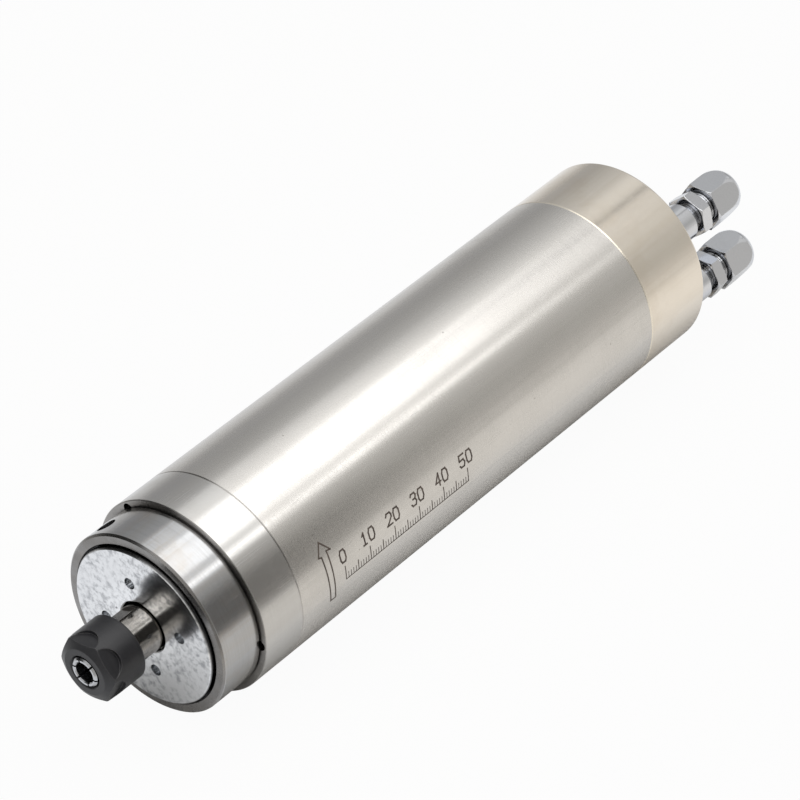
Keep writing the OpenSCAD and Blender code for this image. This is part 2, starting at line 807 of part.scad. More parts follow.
// Rear bearing housing with water passages, seal grooves and tapped holes
module rear_housing() {
    y_cup = y_rear - 18;
    plate_r = rear_seat_r - 5;
    rib = 3;
    color("lightgray") difference() {
        union() {
            turned([
                [rear_seat_r, y_cup], [cup_r, y_cup], [cup_r, y_rear_lip], [lip_r, y_rear_lip],
                [lip_r, y_rear_spigot], [annulus_r, y_rear_spigot],
                [annulus_r, y_rear - rear_land], [jacket_r, y_rear - rear_land],
                [jacket_r, y_rear], [plate_r, y_rear], [plate_r, y_rear - rear_plate],
                [rear_seat_r, y_rear - rear_plate]
            ]);
            for (side = [0, 180])
                rotate([0, -port_angle - side, 0])
                    translate([annulus_r - cut, y_rear_spigot + push_fit, -rib / 2])
                        cube([channel_depth + cut - 0.1, rear_spigot_len - rear_land, rib]);
        }
        seal_channel(jacket_r, seal_d, y_rear - seal_setback - seal_d);
        seal_channel(lip_r, small_seal_d, y_rear_spigot - small_seal_setback - small_seal_d);
        for (angle = port_angles) at_polar(angle, port_r) {
            rod(passage_r, y_rear - 16, y_rear + cut);
            tube(port_seal_r + 0.5, port_seal_r - 0.5, y_rear - port_seal_d - 0.02, y_rear + cut);
            translate([0, y_rear - 13.6, 0]) rotate([0, 90, 0]) cylinder(r = 1.8, h = casing_r);
        }
        for (angle = screw_angles)
            at_polar(angle, screw_circle_r)
                rod(cap_screw_d / 2 + push_fit, y_rear - screw_grip - 2, y_rear + cut);
        at_polar(socket_angle, wire_circle_r) rod(wire_hole_r, y_cup - cut, y_rear + cut);
    }
}

// Rear cap: a cup with bosses for the ports and screws, and holes in its end wall
module rear_cap() {
    y0 = y_rear + push_fit;
    color("#cdc3b2") difference() {
        union() {
            turned(concat(
                [[casing_r - cap_wall, y0], [casing_r - seam_bevel, y0],
                 [casing_r, y0 + seam_bevel]],
                arc(casing_r - cap_round, y_cap - cap_round, cap_round, 0, 90),
                [[0, y_cap], [0, y_wall], [casing_r - cap_wall, y_wall]]
            ));
            for (angle = port_angles) at_polar(angle, port_r) rod(port_boss_r, y0, y_wall + 1);
            for (angle = screw_angles)
                at_polar(angle, screw_circle_r) rod(screw_boss_r, y0 + boss_relief, y_wall + 1);
        }
        for (angle = port_angles) at_polar(angle, port_r) {
            rod(passage_r, y0 - cut, y_cap + cut);
            rod(stem_r + push_fit, y_cap - stem_len - 0.3, y_cap + cut);
        }
        for (angle = screw_angles) at_polar(angle, screw_circle_r) {
            rod(cap_screw_d / 2 + 0.15, y0 - cut, y_cap + cut);
            rod(screw_head_r + 0.2, y_screw_head, y_cap + cut);
        }
        at_polar(socket_angle, socket_offset) rod(socket_d / 2 + push_fit, y0, y_cap + cut);
    }
}

// Socket-head screws that hold the rear cap
module cap_screws() {
    color("gray") for (angle = screw_angles) at_polar(angle, screw_circle_r) difference() {
        union() {
            rod(cap_screw_d / 2, y_rear - screw_grip, y_screw_head + 0.1);
            rod(screw_head_r, y_screw_head + push_fit, y_screw_head + cap_screw_d);
        }
        hex_bar(cap_screw_d * 0.83, y_screw_head + 1.2, y_cap + cut);
    }
}

// Face seals between the rear housing and the cap's port bosses
module port_o_rings() {
    color("black") for (angle = port_angles)
        at_polar(angle, port_r) o_ring(port_seal_r, port_seal_d / 2, y_rear - port_seal_d / 2);
}

// Rubber bush where the lead wires leave the rear housing
module wire_grommet() {
    color("black") at_polar(socket_angle, wire_circle_r) {
        tube(wire_hole_r - push_fit, grommet_r, y_rear - 4, y_rear + 1);
        tube(wire_hole_r + 0.9, grommet_r, y_rear + push_fit, y_rear + 1);
    }
}

// A round bar between two points
module bar(p, q, r) {
    d = q - p;
    translate(p) rotate([0, acos(d[2] / norm(d)), atan2(d[1], d[0])]) cylinder(r = r, h = norm(d));
}

// Four insulated wires from the coil end, through the grommet, to the socket's pins
module lead_wires() {
    y0 = y_core_end + coil_end_len;
    y_bend = y_rear + 2.5;
    spread = wire_hole_r / 2;
    bend_r = wire_r * 1.06;
    y_turn = y_pin_tail - 2 * bend_r;
    color("firebrick") rotate([0, -socket_angle, 0]) for (i = [0:3]) {
        a = 45 + 90 * i;
        p = [wire_circle_r + spread * cos(a), y_bend, spread * sin(a)];
        q = [socket_offset + pin_ring_r * cos(a), y_turn, pin_ring_r * sin(a)];
        bar([p[0], y0, p[2]], p, wire_r);
        translate(p) sphere(r = bend_r);
        bar(p, q, wire_r);
        translate(q) sphere(r = bend_r);
        bar(q, [q[0], y_pin_tail - push_fit, q[2]], wire_r);
    }
}

// Threaded metal barrel of the power socket, with its flange inside the cap
module socket_shell() {
    y_flange = y_wall - socket_flange_len;
    r = socket_d / 2 - push_fit;
    color("silver") at_polar(socket_angle, socket_offset) turned(concat(
        [[socket_bore_r, y_flange], [r + 1.2, y_flange], [r + 1.2, y_wall - push_fit],
         [r, y_wall - push_fit], [r, y_cap + 0.3]],
        thread_points(r, thread_depth, thread_pitch, y_cap + 0.8, y_socket - 0.6),
        [[r - 0.6, y_socket], [socket_bore_r, y_socket]]
    ));
}

// Places its children at each of the socket's four pins
module at_pins() {
    at_polar(socket_angle, socket_offset) for (i = [0:3])
        rotate([0, 45 + 90 * i, 0]) translate([pin_ring_r, 0, 0]) children();
}

// Moulded insert of the power socket with its four pin holes and a key slot
module socket_insert() {
    y_face = y_cap + 2.5;
    key = 2;
    color("#202020") difference() {
        at_polar(socket_angle, socket_offset) rod(socket_bore_r - push_fit, y_insert, y_face);
        at_pins() rod(pin_r + push_fit, y_insert - cut, y_face + cut);
        at_polar(socket_angle, socket_offset)
            translate([socket_bore_r - 1.2, y_cap, -key / 2]) cube([key, key * 2, key]);
    }
}

// Four round pins
module socket_pins() {
    color("gold") at_pins() {
        rod(pin_r, y_pin_tail, y_pin_end);
        translate([0, y_pin_end, 0]) sphere(r = pin_r);
    }
}

// Six-sided nut that holds the power socket to the cap
module socket_nut() {
    y0 = y_cap + gasket_len + 0.05;
    color("silver") at_polar(socket_angle, socket_offset) difference() {
        hex_bar(socket_d + 3, y0, y0 + socket_nut_len);
        rod(socket_d / 2 + push_fit, y0 - cut, y0 + socket_nut_len + cut);
    }
}

// Thin gasket under the socket's nut
module socket_gasket() {
    color("black") at_polar(socket_angle, socket_offset)
        tube(socket_d / 2 + 1.4, socket_d / 2 + push_fit, y_cap + push_fit, y_cap + gasket_len);
}

// Station where a fitting's hexagon starts
function hex_start(i) = washer_len + base_len - base_shortfalls[i] + neck_len;

// Station where a fitting's hose nut starts
function nut_start(i) = hex_start(i) + hex_len + nut_gap;

// Fitting body: stem, round base, hexagon, thread and hose stub, drilled right through
module fitting_body(i) {
    r = hose_thread_d / 2 - running_fit;
    neck_r = r - 0.65;
    base_end = hex_start(i) - neck_len;
    hex_end = hex_start(i) + hex_len;
    thread_end = nut_start(i) + thread_reach;
    bevel = 0.5;
    color("gainsboro") at_fitting(i, 0) difference() {
        union() {
            rod(stem_r, -stem_len, washer_len);
            turned([
                [0, washer_len], [base_d / 2 - bevel, washer_len], [base_d / 2, washer_len + bevel],
                [base_d / 2, base_end - bevel], [base_d / 2 - bevel, base_end], [0, base_end]
            ]);
            rod(neck_r, base_end - cut, hex_start(i) + cut);
            beveled_hex(hex_across, hex_start(i), hex_end, hex_angles[i], 0.7);
            turned(concat(
                [[0, hex_end - cut], [neck_r, hex_end - cut], [neck_r, hex_end + 0.3]],
                thread_points(r, thread_depth, thread_pitch, hex_end + 0.5, thread_end),
                [[r - 0.55, thread_end], [stub_r + 0.2, thread_end],
                 [stub_r + 0.2, thread_end + stub_len * 0.45], [stub_r - 0.3, thread_end + stub_len],
                 [0, thread_end + stub_len]]
            ));
        }
        rod(water_bore_r, -stem_len - cut, thread_end + stub_len + cut);
    }
}

// Places its children on a water port's axis, with their own zero at a station above the cap
module at_fitting(i, station) {
    at_polar(port_angles[i], port_r) translate([0, y_cap + station, 0]) children();
}

// A hexagonal bar whose corners are turned down to a bevel at both ends
module beveled_hex(across, y0, y1, angle, bevel) {
    corner_r = across / 2 / cos(30);
    rise = bevel * 0.6;
    intersection() {
        hex_bar(across, y0, y1, angle);
        turned([
            [0, y0], [corner_r - bevel, y0], [corner_r, y0 + rise], [corner_r, y1 - rise],
            [corner_r - bevel, y1], [0, y1]
        ]);
    }
}

module fitting_body_1() {
    fitting_body(0);
}

module fitting_body_2() {
    fitting_body(1);
}

// Sealing washer under the fitting's base
module fitting_washer(i) {
    color("black") at_fitting(i, 0)
        tube(base_d / 2 + 0.2, stem_r + push_fit, push_fit, washer_len - push_fit);
}

module fitting_washer_1() {
    fitting_washer(0);
}

module fitting_washer_2() {
    fitting_washer(1);
}

// Clamp sleeve that travels with the hose nut and grips the hose; its stations count from the
// nut's start, as the nut's do
module fitting_sleeve(i) {
    r = hose_thread_d / 2 - 0.4;
    color("peru") at_fitting(i, nut_start(i)) turned([
        [sleeve_bore_r, sleeve_start], [r, sleeve_start], [r, sleeve_start + 1.4],
        [hose_bore_r + 0.5, sleeve_end], [sleeve_bore_r, sleeve_end]
    ]);
}

module fitting_sleeve_1() {
    fitting_sleeve(0);
}

module fitting_sleeve_2() {
    fitting_sleeve(1);
}

// Hose nut: six flats that run into a rounded end
module fitting_nut(i) {
    corner_r = hose_nut_across / 2 / cos(30);
    end_r = hose_bore_r + 1.55;
    r = hose_thread_d / 2;
    dome_len = hose_nut_len * 0.62;
    dome_steps = 10;
    dome = [for (k = [0:dome_steps]) let (t = 90 * k / dome_steps)
        [end_r + (corner_r - end_r) * cos(t), hose_nut_len - dome_len + dome_len * sin(t)]];
    y_grip = sleeve_end + 0.35;
    color("gainsboro") at_fitting(i, nut_start(i)) difference() {
        intersection() {
            hex_bar(hose_nut_across, 0, hose_nut_len, hose_nut_angle);
            turned(concat(
                [[0, 0], [corner_r - 0.8, 0], [corner_r, 0.5]], dome, [[0, hose_nut_len]]
            ));
        }
        turned([
            [0, -cut], [r + 0.5, -cut], [r, 0.5], [r, sleeve_start + 1.5],
            [hose_bore_r + 0.75, y_grip], [hose_bore_r, y_grip],
            [hose_bore_r, hose_nut_len - 0.4], [hose_bore_r + 0.5, hose_nut_len + 0.1],
            [hose_bore_r + 0.5, hose_nut_len + cut], [0, hose_nut_len + cut]
        ]);
    }
}

module fitting_nut_1() {
    fitting_nut(0);
}

module fitting_nut_2() {
    fitting_nut(1);
}

outer_casing();
front_housing();
nose_ring();
dust_disc();
water_jacket();
front_o_rings();
rear_o_rings();
stator_core();
stator_windings();
front_bearing_1_outer();
front_bearing_1_inner();
front_bearing_1_cage();
front_bearing_1_balls();
front_bearing_2_outer();
front_bearing_2_inner();
front_bearing_2_cage();
front_bearing_2_balls();
rear_bearing_outer();
rear_bearing_inner();
rear_bearing_cage();
rear_bearing_balls();
preload_spring();
bearing_lock_nut();
spindle_shaft();
rotor_core();
rotor_cage();
shaft_retaining_ring();
collet();
collet_nut();
rear_housing();
rear_cap();
cap_screws();
port_o_rings();
wire_grommet();
lead_wires();
socket_shell();
socket_insert();
socket_pins();
socket_nut();
socket_gasket();
fitting_body_1();
fitting_washer_1();
fitting_sleeve_1();
fitting_nut_1();
fitting_body_2();
fitting_washer_2();
fitting_sleeve_2();
fitting_nut_2();
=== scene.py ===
import logging
import math
from dataclasses import dataclass
from enum import Enum

import bpy
from mathutils import Matrix, Vector


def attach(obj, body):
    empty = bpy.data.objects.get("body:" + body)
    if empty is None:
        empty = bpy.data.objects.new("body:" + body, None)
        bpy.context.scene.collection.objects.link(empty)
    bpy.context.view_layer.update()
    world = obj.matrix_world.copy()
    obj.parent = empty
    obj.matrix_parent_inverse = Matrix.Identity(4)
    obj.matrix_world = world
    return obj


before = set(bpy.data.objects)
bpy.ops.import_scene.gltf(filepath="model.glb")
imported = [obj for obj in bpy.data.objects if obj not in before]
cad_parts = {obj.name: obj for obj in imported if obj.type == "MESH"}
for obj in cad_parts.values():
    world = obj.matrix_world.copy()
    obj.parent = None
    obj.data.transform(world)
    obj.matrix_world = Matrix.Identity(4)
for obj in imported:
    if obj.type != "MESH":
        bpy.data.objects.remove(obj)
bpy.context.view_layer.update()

log = logging.getLogger("motor_spindle")

Colour = tuple[float, float, float]
Point = tuple[float, float]
Stroke = tuple[Point, ...]
Line = tuple[list[Point], float]
Stops = tuple[tuple[float, float], ...]
Socket = bpy.types.NodeSocket
Node = bpy.types.Node
Material = bpy.types.Material

MM = 0.001
BODY_R = 0.029
MARKS_PROUD = 0.000015
ARC_PER_DEGREE = math.radians(1.0) * BODY_R / MM

# How much rougher each mark on a surface makes it, at its full strength.
CLOUD_DULLING = 0.15
SCRATCH_DULLING = 0.2
MARK_DULLING = 0.12
MOTTLE_DULLING = 0.05

# The make-up of the shared effects, in cycles per metre and shares of one.
FINE_SCALE = 5200.0
SPECK_SHARE = 0.2
SPECK_CORE = 0.4
PATCH_EDGE = 0.12
WIDE_STREAKS = (330.0, 9.0, 330.0)
THIN_STREAKS = (1500.0, 22.0, 1500.0)
WIDE_SHARE = 0.6

# Lengths in metres, and values that several surfaces share.
BLUR = 0.0002
BUMP_DEPTH = 0.0002
ETCHING_DEPTH = 0.0001
QUARTER_TURN = 0.25
COAT_ROUGHNESS = 0.18
MATT = 0.9
WHITE = (1.0, 1.0, 1.0)
FLOAT = "NodeSocketFloat"
VECTOR = "NodeSocketVector"


class Lay(Enum):
    """Direction of the tool marks on a face, as a stretch of the noise in cycles per metre."""

    AROUND = (60.0, 2600.0, 60.0)
    EVEN = (1700.0, 1700.0, 1700.0)


class Effect(Enum):
    """The shared node groups."""

    TOOL_MARKS = "tool_marks"
    CLOUDS = "clouds"
    SPECKS = "specks"
    SCRATCHES = "scratches"
    BAND = "band_along_y"
    STREAKS = "streaks_along_y"
    # Lighter edges: wear and a painted highlight.
    WORN_EDGES = "worn_edges"
    # Painted shade in hollows and grooves.
    HOLLOWS = "painted_shade_in_hollows"


class Graph:
    """A node tree with short calls to add and link nodes."""

    def __init__(self, tree: bpy.types.NodeTree) -> None:
        """Wraps a tree.

        Args:
            tree: The tree that the nodes go into.
        """
        self.tree = tree

    def add(self, kind: str, inputs: dict | None = None, **props: object) -> Node:
        """Adds one node.

        Args:
            kind: The node's type name.
            inputs: Values or output sockets by input name or number.
            props: Properties set on the node itself.

        Returns:
            The new node.
        """
        node = self.tree.nodes.new(kind)
        for key, value in props.items():
            setattr(node, key, value)
        for key, value in (inputs or {}).items():
            self.feed(node.inputs[key], value)
        return node

    def feed(self, socket: Socket, value: object) -> None:
        """Links an output to a socket, or sets the socket's own value.

        Args:
            socket: The input socket.
            value: An output socket, a number or a tuple.
        """
        if isinstance(value, Socket):
            self.tree.links.new(value, socket)
        else:
            socket.default_value = value

    def math(self, operation: str, a: object, b: object = 0.0, clamp: bool = False) -> Socket:
        """Adds a Math node and returns its output.

        Args:
            operation: The operation's name.
            a: First value or socket.
            b: Second value or socket.
            clamp: Whether the result is held between 0 and 1.

        Returns:
            The result's socket.
        """
        node = self.add("ShaderNodeMath", {0: a, 1: b}, operation=operation, use_clamp=clamp)
        return node.outputs[0]

    def plus(self, value: object, share: object, amount: float) -> Socket:
        """Adds a share of an amount to a value.

        Args:
            value: The value so far.
            share: How much of the amount is added, from 0 to 1.
            amount: The amount at a full share.

        Returns:
            The sum's socket.
        """
        return self.math("ADD", value, self.math("MULTIPLY", share, amount))

    def place(self) -> Socket:
        """Adds the object's own coordinates and returns their socket."""
        return self.add("ShaderNodeTexCoord").outputs["Object"]

    def axes(self, vector: object) -> bpy.types.NodeOutputs:
        """Splits a vector and returns the sockets of its three parts."""
        return self.add("ShaderNodeSeparateXYZ", {0: vector}).outputs

    def length(self, vector: object) -> Socket:
        """Measures a vector and returns its length's socket."""
        node = self.add("ShaderNodeVectorMath", {0: vector}, operation="LENGTH")
        return node.outputs["Value"]

    def scaled(self, vector: object, by: object) -> Socket:
        """Multiplies a vector by a vector, part by part, and returns the product's socket."""
        node = self.add("ShaderNodeVectorMath", {0: vector, 1: by}, operation="MULTIPLY")
        return node.outputs["Vector"]

    def radius(self, place: object) -> Socket:
        """Measures how far a place is from the spindle's axis and returns the distance's socket."""
        return self.length(self.scaled(place, (1.0, 0.0, 1.0)))

    def shiny(self, path: Node) -> Socket:
        """Gives whether a Light Path node's ray comes from polished metal or glass."""
        return self.math("ADD", path.outputs["Is Glossy Ray"], path.outputs["Is Transmission Ray"])

    def noise(self, vector: object, scale: object = 1.0, detail: float = 2.0,
              roughness: float = 0.5) -> Socket:
        """Adds a Noise node.

        Args:
            vector: Coordinates.
            scale: Cycles per unit of the coordinates.
            detail: Number of finer layers.
            roughness: Strength of the finer layers.

        Returns:
            The noise value's socket.
        """
        node = self.add("ShaderNodeTexNoise", {"Vector": vector, "Scale": scale, "Detail": detail,
                                               "Roughness": roughness})
        return node.outputs["Fac"]

    def smooth(self, value: object, low: object, high: object, out_low: float = 0.0,
               out_high: float = 1.0) -> Socket:
        """Maps a value from one range to another with a soft start and end.

        Args:
            value: The value to map.
            low: Start of the range that is mapped.
            high: End of that range.
            out_low: Result at the start.
            out_high: Result at the end.

        Returns:
            The result's socket.
        """
        node = self.add("ShaderNodeMapRange", {"Value": value, "From Min": low, "From Max": high,
                                               "To Min": out_low, "To Max": out_high},
                        interpolation_type="SMOOTHSTEP")
        return node.outputs["Result"]

    def mix(self, factor: object, a: object, b: object) -> Socket:
        """Mixes two colours.

        Args:
            factor: Share of the second colour.
            a: First colour.
            b: Second colour.

        Returns:
            The mixed colour's socket.
        """
        node = self.add("ShaderNodeMix", {0: factor, 6: rgba(a), 7: rgba(b)}, data_type="RGBA")
        return node.outputs[2]

    def ramp(self, value: object, stops: list[tuple[float, Colour]]) -> Socket:
        """Looks a value up in a row of colours.

        Args:
            value: The value that is looked up.
            stops: Position and colour of each stop, in rising order.

        Returns:
            The colour's socket.
        """
        node = self.add("ShaderNodeValToRGB", {0: value})
        elements = node.color_ramp.elements
        while len(elements) > 1:
            elements.remove(elements[-1])
        for k, (position, colour) in enumerate(stops):
            element = elements[0] if k == 0 else elements.new(position)
            element.position = position
            element.color = rgba(colour)
        return node.outputs[0]

    def effect(self, kind: Effect, inputs: dict) -> Node:
        """Places one of the shared node groups.

        Args:
            kind: Which group.
            inputs: Values or sockets by input name.

        Returns:
            The group's node.
        """
        return self.add("ShaderNodeGroup", inputs, node_tree=bpy.data.node_groups[kind.value])

    def masked(self, kind: Effect, inputs: dict, strength: float) -> Socket:
        """Places one of the shared node groups and scales its mask.

        Args:
            kind: Which group.
            inputs: Values or sockets by input name.
            strength: What the mask is multiplied by.

        Returns:
            The scaled mask's socket.
        """
        return self.math("MULTIPLY", self.effect(kind, inputs).outputs["Mask"], strength)


def rgba(value: object) -> object:
    """Gives a three-part colour its fourth part, and leaves sockets as they are."""
    return (*value, 1.0) if isinstance(value, tuple) and len(value) == 3 else value


def new_material(name: str) -> tuple[Material, Graph]:
    """Starts a material with no nodes.

    Args:
        name: The material's name.

    Returns:
        The material and its graph.
    """
    material = bpy.data.materials.new(name)
    material.use_nodes = True
    material.node_tree.nodes.clear()
    return material, Graph(material.node_tree)


def new_group(kind: Effect, inputs: dict[str, tuple[str, object]],
              outputs: dict[str, str]) -> tuple[Graph, Node, Node]:
    """Starts a shared node group.

    Args:
        kind: The group's kind, whose value is its name.
        inputs: Socket type and default value by input name.
        outputs: Socket type by output name.

    Returns:
        The group's graph, its input node and its output node.
    """
    tree = bpy.data.node_groups.new(kind.value, "ShaderNodeTree")
    for name, (socket_type, default) in inputs.items():
        socket = tree.interface.new_socket(name, in_out="INPUT", socket_type=socket_type)
        socket.default_value = default
    for name, socket_type in outputs.items():
        tree.interface.new_socket(name, in_out="OUTPUT", socket_type=socket_type)
    graph = Graph(tree)
    return graph, graph.add("NodeGroupInput"), graph.add("NodeGroupOutput")


def build_effects() -> None:
    """Builds every shared node group once."""
    g, i, o = new_group(Effect.TOOL_MARKS,
                        {"Vector": (VECTOR, (0, 0, 0)), "Stretch": (VECTOR, (1, 1, 1)),
                         "Fine": (FLOAT, 0.5)}, {"Marks": FLOAT, "Height": FLOAT})
    coarse = g.noise(g.scaled(i.outputs["Vector"], i.outputs["Stretch"]), detail=3.0, roughness=0.62)
    fine = g.noise(i.outputs["Vector"], scale=FINE_SCALE, detail=1.0)
    both = g.add("ShaderNodeMix", {0: i.outputs["Fine"], 2: coarse, 3: fine}, data_type="FLOAT")
    g.feed(o.inputs["Marks"], g.smooth(both.outputs[0], low=0.28, high=0.72))
    g.feed(o.inputs["Height"], both.outputs[0])

    g, i, o = new_group(Effect.CLOUDS,
                        {"Vector": (VECTOR, (0, 0, 0)), "Scale": (FLOAT, 60.0), "Low": (FLOAT, 0.45),
                         "High": (FLOAT, 0.7)},
                        {"Mask": FLOAT})
    cloud = g.noise(i.outputs["Vector"], i.outputs["Scale"], detail=5.0, roughness=0.6)
    g.feed(o.inputs["Mask"], g.smooth(cloud, i.outputs["Low"], i.outputs["High"]))

    g, i, o = new_group(Effect.SPECKS,
                        {"Vector": (VECTOR, (0, 0, 0)), "Scale": (FLOAT, 220.0),
                         "Size": (FLOAT, 0.07), "Share": (FLOAT, 0.25)}, {"Mask": FLOAT})
    cells = g.add("ShaderNodeTexVoronoi", {"Vector": i.outputs["Vector"],
                                           "Scale": i.outputs["Scale"]})
    split = g.add("ShaderNodeSeparateColor", {0: cells.outputs["Color"]})
    core = g.math("MULTIPLY", i.outputs["Size"], SPECK_CORE)
    dot = g.smooth(cells.outputs["Distance"], i.outputs["Size"], core)
    kept = g.math("LESS_THAN", split.outputs[0], i.outputs["Share"])
    g.feed(o.inputs["Mask"], g.math("MULTIPLY", dot, kept))

    g, i, o = new_group(Effect.SCRATCHES,
                        {"Vector": (VECTOR, (0, 0, 0)), "Stretch": (VECTOR, (900, 12, 900)),
                         "Width": (FLOAT, 0.012), "Share": (FLOAT, 0.5)}, {"Mask": FLOAT})
    streak = g.noise(g.scaled(i.outputs["Vector"], i.outputs["Stretch"]), detail=1.0, roughness=0.4)
    off = g.math("ABSOLUTE", g.math("SUBTRACT", streak, 0.5))
    line = g.smooth(off, i.outputs["Width"], 0.0)
    patch = g.noise(i.outputs["Vector"], scale=95.0)
    near = g.smooth(patch, i.outputs["Share"], g.math("ADD", i.outputs["Share"], PATCH_EDGE))
    g.feed(o.inputs["Mask"], g.math("MULTIPLY", line, near))

    g, i, o = new_group(Effect.STREAKS, {"Vector": (VECTOR, (0, 0, 0))}, {"Mask": FLOAT})
    wide = g.noise(g.scaled(i.outputs["Vector"], WIDE_STREAKS), detail=3.0, roughness=0.6)
    thin = g.noise(g.scaled(i.outputs["Vector"], THIN_STREAKS))
    both = g.plus(g.math("MULTIPLY", wide, WIDE_SHARE), thin, 1 - WIDE_SHARE)
    g.feed(o.inputs["Mask"], g.smooth(both, low=0.44, high=0.66))

    g, i, o = new_group(Effect.BAND,
                        {"Vector": (VECTOR, (0, 0, 0)), "Start": (FLOAT, 0.0), "End": (FLOAT, 0.01),
                         "Soft": (FLOAT, 0.0004)}, {"Mask": FLOAT})
    y = g.axes(i.outputs["Vector"])["Y"]
    rise = g.smooth(y, g.math("SUBTRACT", i.outputs["Start"], i.outputs["Soft"]), i.outputs["Start"])
    fall = g.smooth(y, g.math("ADD", i.outputs["End"], i.outputs["Soft"]), i.outputs["End"])
    g.feed(o.inputs["Mask"], g.math("MULTIPLY", rise, fall))

    # Lighter edges, partly wear and partly a painted highlight; the bevelled normal rounds them.
    g, i, o = new_group(Effect.WORN_EDGES, {"Radius": (FLOAT, 0.0004), "Gain": (FLOAT, 3.0)},
                        {"Mask": FLOAT, "Normal": VECTOR})
    bevel = g.add("ShaderNodeBevel", {"Radius": i.outputs["Radius"]}, samples=4)
    flat = g.add("ShaderNodeNewGeometry")
    dot = g.add("ShaderNodeVectorMath", {0: bevel.outputs[0], 1: flat.outputs["Normal"]},
                operation="DOT_PRODUCT")
    gap = g.math("SUBTRACT", 1.0, dot.outputs["Value"])
    g.feed(o.inputs["Mask"], g.math("MULTIPLY", gap, i.outputs["Gain"], clamp=True))
    g.feed(o.inputs["Normal"], bevel.outputs[0])

    # Painted shade: darkens hollows, creases and grooves, where shade falls, by ambient occlusion.
    g, i, o = new_group(Effect.HOLLOWS, {"Depth": (FLOAT, 0.003)}, {"Mask": FLOAT})
    open_sky = g.add("ShaderNodeAmbientOcclusion", {"Distance": i.outputs["Depth"]}, samples=8)
    g.feed(o.inputs["Mask"], g.smooth(open_sky.outputs["AO"], low=0.75, high=0.3))


@dataclass
class Surface:
    """A surface in the making: its graph, its coordinates, and what its shader is fed so far."""

    graph: Graph
    place: Socket
    colour: Socket
    rough: Socket
    height: Socket

    def tint(self, share: Socket, colour: Colour) -> None:
        """Mixes in a share of a colour."""
        self.colour = self.graph.mix(share, self.colour, colour)

    def dull(self, share: Socket, amount: float) -> None:
        """Makes the surface rougher by a share of an amount."""
        self.rough = self.graph.plus(self.rough, share, amount)

    def sink(self, share: Socket) -> None:
        """Lowers the surface by a share of the bump's depth."""
        self.height = self.graph.math("SUBTRACT", self.height, share)


